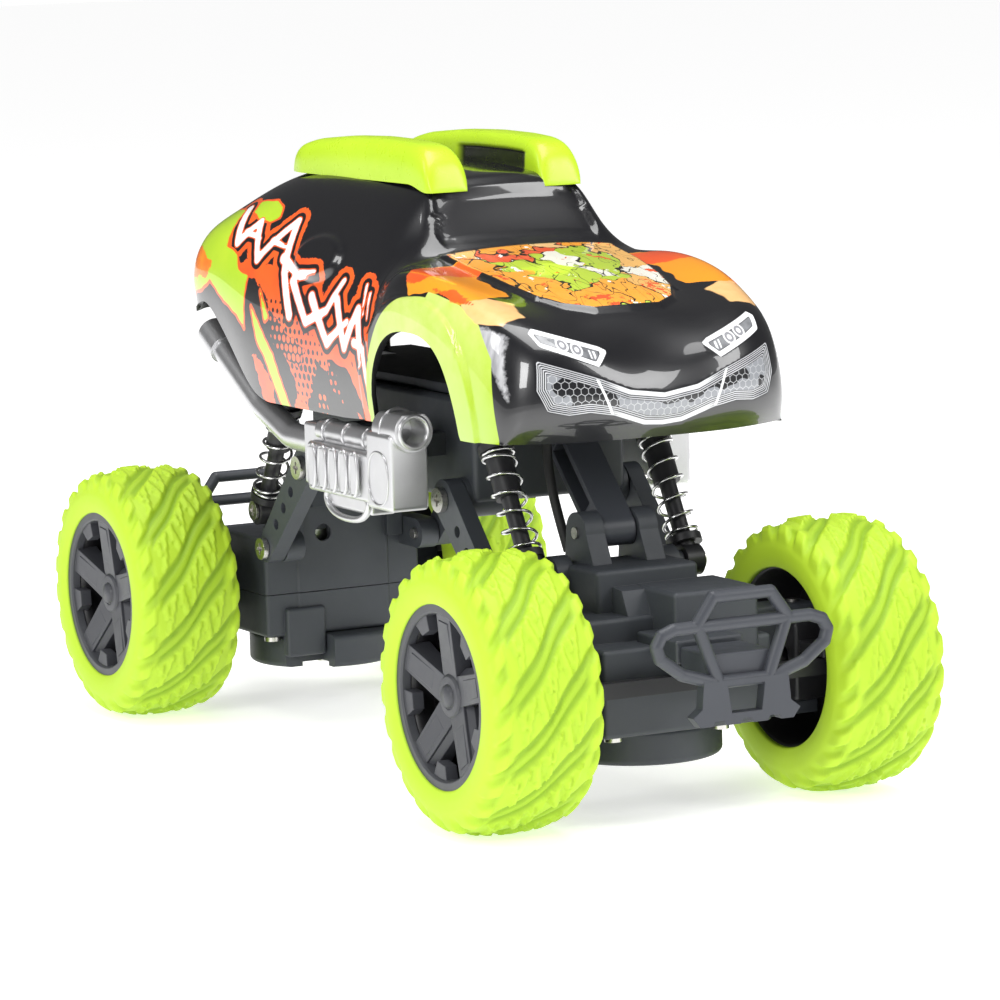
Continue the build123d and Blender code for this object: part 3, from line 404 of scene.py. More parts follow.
def tread_relief(theta, radius, across):
    """Height of the tread over the carcass, 0 to 1, and of the low marks on every other bar."""
    pitch = 2 * pi / LUGS
    sweep = theta + TREAD_TWIST * across
    wobble = 0.03 * np.sin(2.4 * across / TYRE_HALF * pi)
    bar = (sweep / (2 * pitch) + wobble) % 1.0
    wide = smoothstep(bar, 0.02, 0.10) * (1 - smoothstep(bar, 0.60, 0.70))
    middle = smoothstep(np.abs(across), 12.8, 10.5)
    lug = (theta / pitch + TREAD_TWIST * across / pitch + 0.1) % 1.0
    scallop = smoothstep(lug, 0.04, 0.22) * (1 - smoothstep(lug, 0.62, 0.86))
    shoulder = smoothstep(radius, 29.0, 31.2) * smoothstep(np.abs(across), 8.5, 11.5)
    narrow = smoothstep(bar, 0.74, 0.80) * (1 - smoothstep(bar, 0.90, 0.96))
    height = np.maximum(wide * 0.85, narrow * 0.45) * middle
    height = np.maximum(height, scallop * shoulder)
    along = across / cos(radians(50))
    cross = (bar - 0.35) * 2 * pitch * TYRE_R * cos(radians(50))
    marks = np.zeros_like(height)
    for k, place in enumerate((-11.0, -5.5, 0.0, 5.5, 11.0)):
        lean = 0.45 if k % 2 else -0.45
        line = np.abs((along - place) - lean * cross)
        stroke = smoothstep(line, 1.15, 0.75) * smoothstep(np.abs(cross), 3.3, 2.9)
        fork = np.abs((along - place - 1.6) + lean * cross)
        fork = smoothstep(fork, 1.0, 0.6) * smoothstep(np.abs(cross - 1.4), 1.6, 1.2)
        stroke = np.maximum(stroke, fork)
        marks = np.maximum(marks, stroke)
    return height, marks * middle * (wide > 0.95)


def make_tyres(material):
    around, across = 600, 96
    line, normal = tyre_outline(across)
    theta = np.arange(around)[:, None] * 2 * pi / around
    radius, c = line[:, 0][None], line[:, 1][None]
    height, marks = tread_relief(theta, radius, c)
    depth = np.where(np.abs(c) < 11.5, 1.05, 1.55) * height + 0.75 * marks
    crown = smoothstep(np.abs(c), 15.0, 9.0)
    push = depth * np.where(radius > 29, 1, 0)
    r = radius + push * normal[:, 0][None]
    out = c + push * np.clip(normal[:, 1][None], -0.35, 0.35)
    r = np.minimum(r, TYRE_R)
    verts = np.stack([r * np.cos(theta), r * np.sin(theta), out * np.ones_like(theta)], -1)
    flat = verts.reshape(-1, 3)
    faces = grid_faces(around, across, wrap_rows=True)
    bead = [(22.8, 14.0), (22.8, -14.0)]
    start = len(flat)
    ring = [(rb * cos(t), rb * sin(t), cb) for rb, cb in bead for t in theta[:, 0]]
    flat = np.concatenate([flat, ring])
    for k in range(around):
        n = (k + 1) % around
        faces.append((k * across + across - 1, start + k, start + n, n * across + across - 1))
        faces.append((start + k, start + around + k, start + around + n, start + n))
        faces.append((start + around + k, k * across, n * across, start + around + n))
    # painted shade for the tyres: lit is 0.25 in the tread's hollows, 1 on the lugs and sidewalls, 0.3
    # on the bead faces
    lit = 0.25 + 0.75 * np.maximum(height, 1 - crown)
    relief = np.concatenate([lit.reshape(-1), [0.3] * len(ring)])
    for name, side, end, body in WHEELS:
        obj = piece(name + "_tyre_soft", to_car(flat, side, end), faces, body, "lime_rubber", material,
                    [name + "_tyre"])
        set_attribute(obj, "relief", relief)


WHEELS = [("front_left", 1, 1, "front_left_wheel"), ("front_right", -1, 1, "front_right_wheel"),
          ("rear_left", 1, -1, "rear_wheels"), ("rear_right", -1, -1, "rear_wheels")]


def turned(profile, count=96):
    """An outline of (radius, c) turned about the wheel's axis, closed on itself."""
    theta = np.arange(count) * 2 * pi / count
    shape = np.array(profile, float)
    a, b = (shape[:, 0] * way(theta)[:, None] for way in (np.cos, np.sin))
    verts = np.stack([a, b, np.broadcast_to(shape[:, 1], a.shape)], -1).reshape(-1, 3)
    return verts, grid_faces(count, len(shape), wrap_rows=True, wrap_columns=True)


def slab(top, depth):
    """A closed block under an outline of (a, b, c) points, its foot at c = depth."""
    count = len(top)
    foot = [(a, b, depth) for a, b, _ in top]
    verts = list(top) + foot
    faces = [tuple(range(count)), tuple(range(2 * count - 1, count - 1, -1))]
    faces += [(k, count + k, count + (k + 1) % count, (k + 1) % count) for k in range(count)]
    return verts, faces


def join(parts):
    verts, faces = [], []
    for v, f in parts:
        start = len(verts)
        verts += [tuple(p) for p in v]
        faces += [tuple(start + i for i in face) for face in f]
    return np.array(verts, float), faces


def rounded(obj, width):
    """Rounds the edges of a moulded piece, and shades it smooth between them."""
    bevel = obj.modifiers.new("edges", "BEVEL")
    bevel.width = width * MM
    bevel.segments = 2
    bevel.limit_method = "ANGLE"
    bevel.angle_limit = radians(35)
    bevel.harden_normals = True


RIM_OUT = 14.1                  # c of the rim's flat face
BLADE_FIRST = 84.0              # degrees


def spun(points, degrees):
    turn = Matrix.Rotation(radians(degrees), 3, "Z")
    return [tuple(turn @ Vector(p)) for p in points]


def make_rims(plastic, black):
    ring = turned([(23.7, RIM_OUT - 3.0), (23.7, RIM_OUT - 0.3), (23.4, RIM_OUT), (20.9, RIM_OUT),
                   (20.5, RIM_OUT - 0.4), (20.2, RIM_OUT - 2.6), (20.9, RIM_OUT - 3.0)], 144)
    hub = turned([(0.01, 6.0), (5.9, 6.0), (5.4, RIM_OUT - 3.0), (4.9, RIM_OUT - 2.5),
                  (3.3, RIM_OUT - 2.4), (3.0, RIM_OUT - 2.6), (2.7, RIM_OUT - 1.9),
                  (2.3, RIM_OUT - 1.6), (0.01, RIM_OUT - 1.5)], 60)
    blades = []
    high, low = RIM_OUT - 0.9, RIM_OUT - 3.4
    for k in range(5):
        turn = BLADE_FIRST - 90 + 72 * k
        blade = [(-4.6, 4.0, low), (-4.4, 20.9, high), (2.6, 20.9, high), (3.1, 3.0, low)]
        blades.append(slab(spun(blade[::-1], turn), 7.0))
        skirt = [(-6.2, 5.4, low - 2.0), (-6.0, 20.6, high - 2.0), (-4.4, 20.9, high - 0.7),
                 (-4.6, 4.0, low - 0.7)]
        blades.append(slab(spun(skirt[::-1], turn), 7.0))
        groove = [(-3.3, 8.6, low + 0.75), (-3.3, 18.6, high - 0.05), (1.4, 18.6, high - 0.05),
                  (1.8, 8.6, low + 0.75)]
        blades.append(slab(spun(groove[::-1], turn), 9.0))
        tab = [(-3.4, 20.8, RIM_OUT - 0.7), (-1.9, 17.0, RIM_OUT - 1.0), (2.3, 16.6, RIM_OUT - 1.0),
               (3.6, 20.8, RIM_OUT - 0.7)]
        blades.append(slab(spun(tab, turn + 36), RIM_OUT - 4.2))
    verts, faces = join([ring, hub] + blades)
    deep = join([turned([(23.5, -13.4), (23.5, RIM_OUT - 2.9), (20.4, RIM_OUT - 2.9),
                         (21.2, RIM_OUT - 6.0), (22.0, 3.0), (22.2, -12.6), (22.7, -13.4)]),
                 turned([(0.01, 3.2), (22.1, 3.2), (22.1, 4.6), (0.01, 4.6)]),
                 turned([(0.01, -2.4), (4.9, -2.4), (5.2, -1.8), (5.4, 3.3), (0.01, 3.3)], 60)])
    for name, side, end, body in WHEELS:
        face = piece(name + "_rim_face", to_car(verts, side, end), faces, body, "rim_plastic", plastic,
                     [name + "_rim"])
        rounded(face, 0.28)
        piece(name + "_rim_barrel", to_car(deep[0], side, end), deep[1], body, "rim_plastic", black)


# ---------------------------------------------------------------- shock springs
SHOCK_TOP = (58.0, 22.8, 95.0)
SHOCK_FOOT = (79.0, 22.8, 58.0)


def make_springs(material):
    """Round wire of six open coils with a closed coil at each end, between the shock's seats."""
    top, foot = Vector(SHOCK_TOP), Vector(SHOCK_FOOT)
    along = (foot - top).normalized()
    start, end = 8.9, (foot - top).length - 6.8
    wire, radius, coils = 0.42, 4.15, 7.0
    steps, ring = 420, 8
    share = np.linspace(0, 1, steps)
    closed = 2 * wire * 1.02
    angle = share * 2 * pi * coils
    turns = share * coils
    free = end - start - 2 * closed
    travel = closed * np.clip(turns, 0, 1) + closed * np.clip(turns - (coils - 1), 0, 1)
    travel += free * np.clip((turns - 1) / (coils - 2), 0, 1)
    side_way = Vector((0, 1, 0))
    third = along.cross(side_way)
    a, s, t = (np.array(v) for v in (along, side_way, third))
    for end_name, flip in (("front", 1), ("rear", -1)):
        parts = []
        for side in (1, -1):
            radial = np.cos(angle)[:, None] * s + np.sin(angle)[:, None] * t
            centre = np.array(top) + (start + travel)[:, None] * a + radius * radial
            phi = np.arange(ring) * 2 * pi / ring
            tube = centre[:, None] + wire * (np.cos(phi)[None, :, None] * radial[:, None]
                                             + np.sin(phi)[None, :, None] * a)
            tube = tube.reshape(-1, 3) * np.array([flip, side, 1])
            faces = grid_faces(steps, ring, wrap_columns=True, flip=flip * side > 0)
            faces += [tuple(range(ring)), tuple(range(steps * ring - 1, (steps - 1) * ring - 1, -1))]
            parts.append((tube, faces))
        obj = piece(end_name + "_spring_wire", *join(parts), end_name + "_shock_barrels", "spring_steel",
                    material, [end_name + "_shock_springs"])
        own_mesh(obj)


# ---------------------------------------------------------------- body shell
# Each row runs from the shell's lower edge up to its centre line: (x, y, z). Rear first.
def level_row(x, half):
    return [(x, y, z) for y, z in half]


BODY_ROWS = [
    [(-85, 38.4, 115.4), (-87.0, 34, 114.8), (-88, 28, 114.6), (-88.6, 21, 114.6),
      (-88.9, 15, 114.6), (-89, 10, 114.6), (-89, 5, 114.6), (-89, 0, 114.6)],
    [(-82, 39.4, 116.2), (-85.5, 38.6, 119.5), (-87.4, 34.5, 121), (-88.3, 27, 122),
      (-88.7, 21, 122.5), (-88.9, 14, 122.8), (-88.9, 7, 123), (-88.9, 0, 123)],
    [(-78, 40.4, 117.2), (-82.5, 40.8, 123), (-85.4, 38.8, 128), (-87, 32.5, 131),
      (-87.6, 25, 132), (-87.8, 17, 132.8), (-87.9, 9, 133.2), (-87.9, 0, 133.4)],
    [(-73.5, 41.0, 118.2), (-76.5, 41.8, 125), (-79.5, 40.3, 132), (-81.2, 36.2, 137.2),
      (-82.2, 29.5, 139.4), (-82.8, 21, 141.2), (-83, 10.5, 142.3), (-83, 0, 142.6)],
    [(-68, 41.0, 115.8), (-69, 42.0, 124.0), (-70, 41.1, 132.0), (-70.5, 37.8, 138.6),
      (-71, 31.2, 142.8), (-71, 23.8, 146.4), (-71, 12, 148.2), (-71, 0, 148.6)],
    level_row(-57.0, [(40.2, 105.0), (42.2, 117), (41.6, 129), (38.4, 138.5), (31.4, 145.2),
      (24.2, 151.2), (12, 152.8), (0, 153.2)]),
    level_row(-44.7, [(40.2, 93.2), (42.3, 109), (41.6, 125), (38.3, 136.6), (31.2, 145.8),
      (24, 153.6), (12, 155.4), (0, 155.9)]),
    level_row(-30.0, [(40.0, 93.0), (42.3, 108), (41.4, 123.5), (38.0, 135.4), (30.8, 145.4),
      (23.8, 154.5), (12, 156.4), (0, 156.9)]),
    level_row(-12.0, [(40.0, 93.0), (42.2, 107.5), (41.3, 122), (37.8, 134.2), (30.3, 144.8),
      (23.2, 154.7), (12, 156.6), (0, 157.1)]),
    level_row(5.0, [(40.0, 93.0), (42.2, 107), (41.2, 121), (37.4, 133.2), (29.6, 144.2),
      (22.8, 154.4), (12, 156.2), (0, 156.6)]),
    level_row(17.0, [(40.0, 93.5), (42.2, 107), (41.2, 120.6), (37.6, 132.2), (29.2, 143.0),
      (22.4, 154.0), (12, 155.6), (0, 156.0)]),
    level_row(24.5, [(40.0, 94.0), (42.2, 107), (41.2, 120.3), (37.6, 131.4), (28.2, 141.8),
      (22.2, 153.6), (11.5, 155.1), (0, 155.5)]),
    level_row(27.4, [(40.0, 94.0), (42.2, 107), (41.3, 120.2), (37.8, 131.0), (27.0, 140.8),
      (22.2, 152.6), (11.5, 154.0), (0, 154.4)]),
    level_row(31.5, [(40.1, 94.0), (42.3, 107), (41.6, 120.5), (38.4, 131.0), (27.4, 138.0),
      (23.8, 145.0), (12, 146.2), (0, 146.5)]),
    level_row(36.0, [(40.2, 94.0), (42.5, 107), (42.2, 121.2), (39.8, 131.6), (30.6, 134.6),
      (25.8, 137.0), (13, 138.0), (0, 138.2)]),
    level_row(38.8, [(40.3, 94.0), (42.6, 107), (42.5, 121.8), (40.6, 132.6), (32.8, 133.8),
      (26.2, 135.4), (13, 136.4), (0, 136.7)]),
    level_row(44.0, [(40.4, 94.0), (42.8, 107), (42.7, 122.6), (41.0, 134.0), (34.6, 134.2),
      (25.6, 134.0), (12.5, 135.4), (0, 135.8)]),
    level_row(52.0, [(40.7, 94.0), (43.0, 107), (42.9, 123.4), (41.0, 134.2), (34.8, 133.8),
      (24.8, 132.6), (12, 134.0), (0, 134.5)]),
    level_row(62.0, [(41.0, 94.0), (43.0, 107), (42.9, 122.8), (40.8, 133.2), (34.4, 132.8),
      (24.0, 130.6), (12, 132.0), (0, 132.5)]),
    level_row(72.0, [(41.1, 94.0), (42.9, 106), (42.7, 121.0), (40.4, 131.0), (33.8, 130.8),
      (22.8, 128.4), (11.5, 129.8), (0, 130.3)]),
    level_row(80.5, [(41.1, 94.0), (42.7, 105), (42.2, 118.6), (39.6, 128.0), (32.8, 128.4),
      (21.8, 126.4), (11, 127.8), (0, 128.3)]),
    [(85, 41.1, 94), (88, 42.0, 104.5), (90, 41.2, 115), (91.5, 38.2, 123.6), (92.3, 31, 124.8),
      (92.6, 20.6, 123.2), (92.8, 10, 124.2), (93, 0, 124.6)],
    [(89, 41.0, 94.1), (93.5, 41.6, 103), (96.6, 39.8, 112.6), (98.4, 35.8, 120.4),
      (98.6, 29, 122.0), (98.0, 19.6, 120.6), (97.3, 9.5, 121.0), (97.0, 0, 121.2)],
    [(92.5, 40.8, 94.2), (97.5, 40.6, 101.5), (101.2, 37.8, 109), (103.6, 32.6, 115.4),
      (104.4, 26.2, 118.0), (103.6, 18, 117.6), (102.0, 9, 117.4), (101.3, 0, 117.3)],
    [(95, 40.5, 94.3), (99.8, 39.6, 99.6), (103.7, 35.4, 105.2), (106.3, 29.2, 109.8),
      (107.3, 23, 112.4), (107.2, 15.5, 112.8), (106.2, 8, 112.2), (105.5, 0, 111.8)],
    [(96.6, 40.2, 94.3), (101, 38, 97.8), (105.2, 33.2, 101.3), (107.8, 26.2, 104),
      (108.8, 20, 105.7), (109.0, 13.5, 106.2), (108.9, 7, 106.2), (108.8, 0, 106.2)],
    [(97.5, 39.9, 94.3), (101, 36.6, 96.0), (104.8, 31, 97.8), (107.4, 24.2, 99.2),
      (108.5, 18, 100.0), (108.9, 12, 100.3), (109.0, 6, 100.4), (109.0, 0, 100.4)],
    [(98, 39.5, 94.3), (100.3, 34.5, 94.2), (102.6, 28, 94.1), (104.2, 21, 94), (105.0, 15, 94),
      (105.3, 10, 94), (105.4, 5, 94), (105.4, 0, 94)],
]
ARCH_MIDDLE = 54.6
ARCH_HALF = 24.6
ARCH_FOOT = 93.0
ARCH_RISE = 26.0


def spline(points, at):
    """A uniform cubic B-spline along the first axis of points, which has one spare point at each end."""
    k = np.clip(np.floor(at).astype(int), 0, len(points) - 4)
    t = at - k
    weights = np.stack([(1 - t) ** 3, 3 * t ** 3 - 6 * t ** 2 + 4, -3 * t ** 3 + 3 * t ** 2 + 3 * t + 1,
                        t ** 3]) / 6
    shape = (-1,) + (1,) * (points.ndim - 1)
    return sum(weights[i].reshape(shape) * points[k + i] for i in range(4))


def arch_edge(x):
    t = np.clip(np.abs((x - ARCH_MIDDLE) / ARCH_HALF), 0, 1)
    return ARCH_FOOT + ARCH_RISE * (1 - t ** 2.6) ** (1 / 2.1)


def arch_distance(x, z):
    """How far a point of the side is outside the wheel opening."""
    steps = np.linspace(-1, 1, 160)
    xs = ARCH_MIDDLE + ARCH_HALF * np.sign(steps) * np.abs(steps) ** 0.6
    zs = arch_edge(xs)
    gaps = np.hypot(x[..., None] - xs, z[..., None] - zs)
    return gaps.min(-1)


def body_half(columns, step):
    """The shell's left half as rows of points, trimmed along the wheel opening."""
    grid = np.array(BODY_ROWS, float)
    grid = np.concatenate([[2 * grid[0] - grid[1]], grid, [2 * grid[-1] - grid[-2]]])
    foot = 2 * grid[:, :1] - grid[:, 1:2]
    over = grid[:, -2:-1] * np.array([1, -1, 1])
    grid = np.concatenate([foot, grid, over], 1)
    fine = np.linspace(0, len(BODY_ROWS) - 1, 4000)
    spine = spline(grid[:, 4], fine)
    length = np.concatenate([[0], np.cumsum(np.linalg.norm(np.diff(spine, axis=0), axis=1))])
    count = int(length[-1] / step)
    rows = spline(grid, np.interp(np.linspace(0, length[-1], count), length, fine))
    out = np.zeros((count, columns, 3))
    across = np.linspace(0, len(BODY_ROWS[0]) - 1, 600)
    for r, row in enumerate(rows):
        line = spline(row, across)
        if abs(line[0, 0] - ARCH_MIDDLE) < ARCH_HALF + 0.5:
            over_edge = line[:, 2] - arch_edge(line[:, 0])
            first = np.nonzero(over_edge > 0)[0][0]
            if first:
                share = over_edge[first - 1] / (over_edge[first - 1] - over_edge[first])
                cut = line[first - 1] + (line[first] - line[first - 1]) * share
                line = np.concatenate([[cut], line[first:]])
        out[r] = resampled(line, columns)
    return out


def grid_normals(points):
    du = np.gradient(points, axis=0)
    dv = np.gradient(points, axis=1)
    normal = np.cross(du, dv)
    return normal / np.linalg.norm(normal, axis=-1, keepdims=True)


# Outlines on the shell. HOOD is (x, y) and SCREEN (y, z), both whole. LAMP and GRILLE are (y, z),
# on the left half.
HOOD = [(38.5, -24.6), (38.5, 24.6), (53, 24.2), (69, 22.2), (79, 19.8), (86.5, 15.8), (91.2, 9.5),
        (92.0, 0), (91.2, -9.5), (86.5, -15.8), (79, -19.8), (69, -22.2), (53, -24.2)]
SCREEN = [(-22.4, 139.2), (22.4, 139.2), (23.0, 140.6), (20.9, 150.6), (20.0, 151.6), (-20.0, 151.6),
          (-20.9, 150.6), (-23.0, 140.6)]
LAMP = [(13.2, 116.0), (15.2, 117.2), (30.6, 122.3), (32.1, 121.2), (31.0, 118.0), (17.2, 112.4)]
GRILLE_TOP = [(0, 105.2), (9.5, 106.6), (17.8, 109.9), (32.6, 114.9)]
GRILLE_SIDE = [(33.4, 107.6), (31.2, 102.4)]
GRILLE_FOOT = [(26.0, 101.2), (20.6, 101.6), (14.0, 100.4), (5.4, 97.4), (0, 97.0)]
BULGE = (-8.0, 133.5, 13.0, 6.0)        # the scoop's middle x and z, and its half sizes


def mirrored(half):
    return half + [(-y, z) for y, z in reversed(half) if y > 0]


def shape_details(points):
    """Raised hood, sunk screen, wheel flares and side scoops, as a move along the normal."""
    x, y, z = points[..., 0], points[..., 1], points[..., 2]
    hood = polygon_distance(HOOD, x, y)
    move = 1.0 * smoothstep(-hood, -0.9, 0.9) * (z > 119)
    screen = polygon_distance(SCREEN, y, z)
    move -= 1.1 * smoothstep(-screen, -0.6, 0.5) * ((x > 24) & (x < 39))
    side = (np.abs(y) > 30) & (x > 24)
    flare = arch_distance(x, z)
    lifted = z + 0.8 * (43 - np.abs(y))
    move += 0.9 * smoothstep(-(flare - 8.6), -0.5, 0.5) * side * smoothstep(lifted, 135.5, 132.5)
    bx, bz, bw, bh = BULGE
    oval = np.hypot((x - bx) / bw, (z - bz) / bh)
    move += 1.5 * smoothstep(-oval, -1.06, -0.72) * (np.abs(y) > 25)
    lamp = polygon_distance(LAMP, np.abs(y), z)
    move -= 0.35 * smoothstep(-lamp, 0.3, 1.1) * (x > 90)
    grille = polygon_distance(mirrored(GRILLE_TOP + GRILLE_SIDE + GRILLE_FOOT), y, z)
    move -= 0.35 * smoothstep(-grille, 0.2, 1.0) * (x > 95)
    return move


# Side art, as (x, height) where height also counts the way in over a fender or the roof's edge.
TAIL_LIME = [(-62, 150), (-75, 152), (-95, 140), (-95, 120), (-74, 122), (-68, 124.5), (-59, 119.4),
             (-51, 116.2), (-46.4, 112.6), (-46.6, 119), (-45.2, 127.6), (-51, 128.8), (-53, 133.4),
             (-60, 135.6), (-61, 142)]
TAIL_TIP = [(-95, 136), (-80, 135.4), (-72, 132.2), (-67, 128.8), (-69.6, 125.6), (-77, 124.8),
            (-95, 126)]
TOP_LIME = [(-55, 149.6), (-56, 154.4), (-46, 155.2), (-40.6, 153), (-38.8, 149), (-43, 146.8),
            (-49, 147.2)]
SHARDS = [[(-42, 119), (-33.4, 110.6), (-29.4, 107), (-22.6, 94), (-27.4, 94), (-34.4, 106),
           (-38.4, 109.4)],
          [(-37, 124), (-33.4, 115.4), (-31.4, 116.8)]]
RED_AREAS = [[(-60, 137), (-50, 131.5), (-41, 134), (-29, 131), (-24, 121), (-9, 116), (16, 111.5),
              (25, 104), (28.4, 93), (20, 93), (16, 99), (8, 104), (-2, 107), (-6, 101), (-14, 93),
              (-20, 93), (-16, 101), (-22, 108), (-30, 114), (-34, 124), (-44, 127.5), (-54, 128.6)],
             [(-43, 106.5), (-36, 104), (-30.5, 99), (-33, 93), (-38, 93)],
             [(10.5, 103.6), (16, 104.6), (15, 99.5)]]
INK_AREAS = [[(-38, 126), (-30, 119), (-20, 113.4), (-8, 109.6), (-14, 104.6), (-26, 108.4), (-37, 116)],
             [(4, 108.6), (16, 106.6), (22.5, 99), (24.4, 94.6), (19.6, 96.2), (12, 96.6), (5, 102)],
             [(-3.5, 99.6), (1.4, 99.2), (0.6, 94), (-5.4, 93.4)]]
DOTS = [(-34, 124), (-22, 121.5), (-10, 117), (0, 112), (10, 104), (12, 93), (-2, 93), (-14, 96),
        (-27, 104)]
STROKES = [([(-60, 151), (-54.5, 137.2), (-47.5, 146.5), (-41.5, 133.0)], 1.5, 1.1),
           ([(-41.5, 133.0), (-28, 149), (-24.5, 131.0), (-18.6, 118.6)], 1.2, 1.7),
           ([(-27, 135.2), (-15, 130.2), (-5, 132.0)], 1.7, 0.5),
           ([(-18.6, 128.6), (-8.6, 117.4), (3.0, 121.6), (9.6, 131.6)], 1.6, 0.9),
           ([(-6.4, 124.8), (4.2, 112.6), (15.4, 119.4)], 1.7, 0.9),
           ([(8.2, 125.4), (14.6, 112.4), (21.0, 123.6), (24.6, 108.4)], 1.4, 1.3),
           ([(20.2, 114.0), (27.2, 112.2), (29.6, 98.6)], 1.2, 0.6),
           ([(-52, 141.6), (-43.4, 140.2)], 1.2, 0.5),
           ([(-36.0, 140.4), (-27.6, 138.8)], 1.2, 0.4),
           ([(22.4, 131.4), (24.0, 122.2)], 0.55, 0.35),
           ([(25.6, 129.0), (26.6, 121.0)], 0.5, 0.3)]
FENDER_AMBER = [(53, 128.4), (49.6, 134), (45.4, 144), (45.4, 150), (60, 144.6), (76, 142),
                (79.6, 134.4), (77, 128.8), (68, 131)]
FENDER_RED = [[(46, 139), (50, 133), (54, 131.6), (59, 136), (57, 150), (46, 150)],
              [(64, 131.4), (76, 129.2), (80, 131), (72, 133.6)]]
FENDER_PEACH = [(76.4, 129.2), (78.6, 135.6), (82, 138.6), (91.4, 134.4), (92.4, 127.6), (85, 125)]
FENDER_STREAKS = [[(84.6, 124.8), (95.4, 124.6), (99.4, 108), (96.2, 111.4), (93.4, 114.6)]]
FLARE_FRONT = [(60, 131), (77, 129), (86, 125), (93.2, 116.6), (96.6, 97), (97, 90), (60, 90)]
# Over the wheel opening the printed flare starts at FLARE_START and reaches this far from the edge
# at each x. Ahead of that it fills FLARE_FRONT too.
FLARE_START = 22
FLARE_X, FLARE_REACH = [26, 36, 50, 62], [2.2, 5.6, 8.6, 9.6]


def side_art(points):
    """Signed distances, in mm, to each printed shape."""
    x, y, z = points[..., 0], points[..., 1], points[..., 2]
    lifted = z + 0.8 * (43 - np.abs(y)) - 0.8
    ripple = 0.5 * np.sin(0.9 * x + 0.5 * lifted) + 0.35 * np.sin(1.7 * lifted - 0.6 * x)
    far = np.full(x.shape, 50.0)
    beside = np.abs(y) > 22

    def area(outlines, rough=0.0):
        found = far
        for outline in outlines:
            found = np.minimum(found, polygon_distance(outline, x, lifted))
        return np.where(beside, found + rough * ripple, far)

    white = far
    for path, start_w, end_w in STROKES:
        white = np.minimum(white, stroke_distance(path, x, lifted, start_w, end_w))
    white = np.where(beside, white, far)
    rear = x < 31
    edge_gap = arch_distance(x, z)
    ahead = np.minimum(edge_gap - 3.0 - 0.16 * np.clip(z - 94, 0, 40),
                       np.maximum(polygon_distance(FLARE_FRONT, x, lifted), 58 - x))
    flare = np.where(x < FLARE_X[-1], edge_gap - np.interp(x, FLARE_X, FLARE_REACH), ahead)
    flare = np.where(beside & (x > FLARE_START), flare, far)
    return {
        "lime": area([TAIL_LIME, TOP_LIME] + SHARDS, 0.25),
        "tip": area([TAIL_TIP], 0.8),
        "red": np.where(rear, area(RED_AREAS, 0.9), far),
        "ink": np.where(rear, area(INK_AREAS, 0.6), far),
        "dots": np.where(rear, area([DOTS]), far),
        "white": np.where(rear, white + 0.12 * ripple, far),
        "flare": flare,
        "amber": area([FENDER_AMBER], 0.4),
        "fender_red": area(FENDER_RED, 0.7),
        "peach": area([FENDER_PEACH], 0.3),
        "streak": area(FENDER_STREAKS, 0.3),
    }


def front_art(points):
    x, y, z = points[..., 0], points[..., 1], points[..., 2]
    far = np.full(x.shape, 50.0)
    grille = polygon_distance(mirrored(GRILLE_TOP + GRILLE_SIDE + GRILLE_FOOT), y, z)
    return {
        "hood": np.where(z > 119, polygon_distance(HOOD, x, y), far),
        "lamp": np.where(x > 88, polygon_distance(LAMP, np.abs(y), z), far),
        "grille": np.where(x > 92, grille, far),
    }


def hex_web(g, u, v, pitch, width):
    """1 on the lines of a honeycomb of that pitch, for two millimetre sockets."""
    tall = pitch * 3 ** 0.5

    def centred(value, period, shift):
        moved = g.math("ADD", value, 1000 * period + shift)
        return g.math("ABSOLUTE", g.minus(g.math("MODULO", moved, period), period / 2))

    def cell(shift_u, shift_v):
        a, b = centred(u, pitch, shift_u), centred(v, tall, shift_v)
        slant = g.math("ADD", g.times(a, 0.5), g.times(b, 0.75 ** 0.5))
        return g.math("MAXIMUM", a, slant)

    reach = g.math("MINIMUM", cell(0, 0), cell(pitch / 2, tall / 2))
    return g.math("MULTIPLY_ADD", reach, 1 / 0.12, -(pitch / 2 - width / 2) / 0.12, clamp=True)


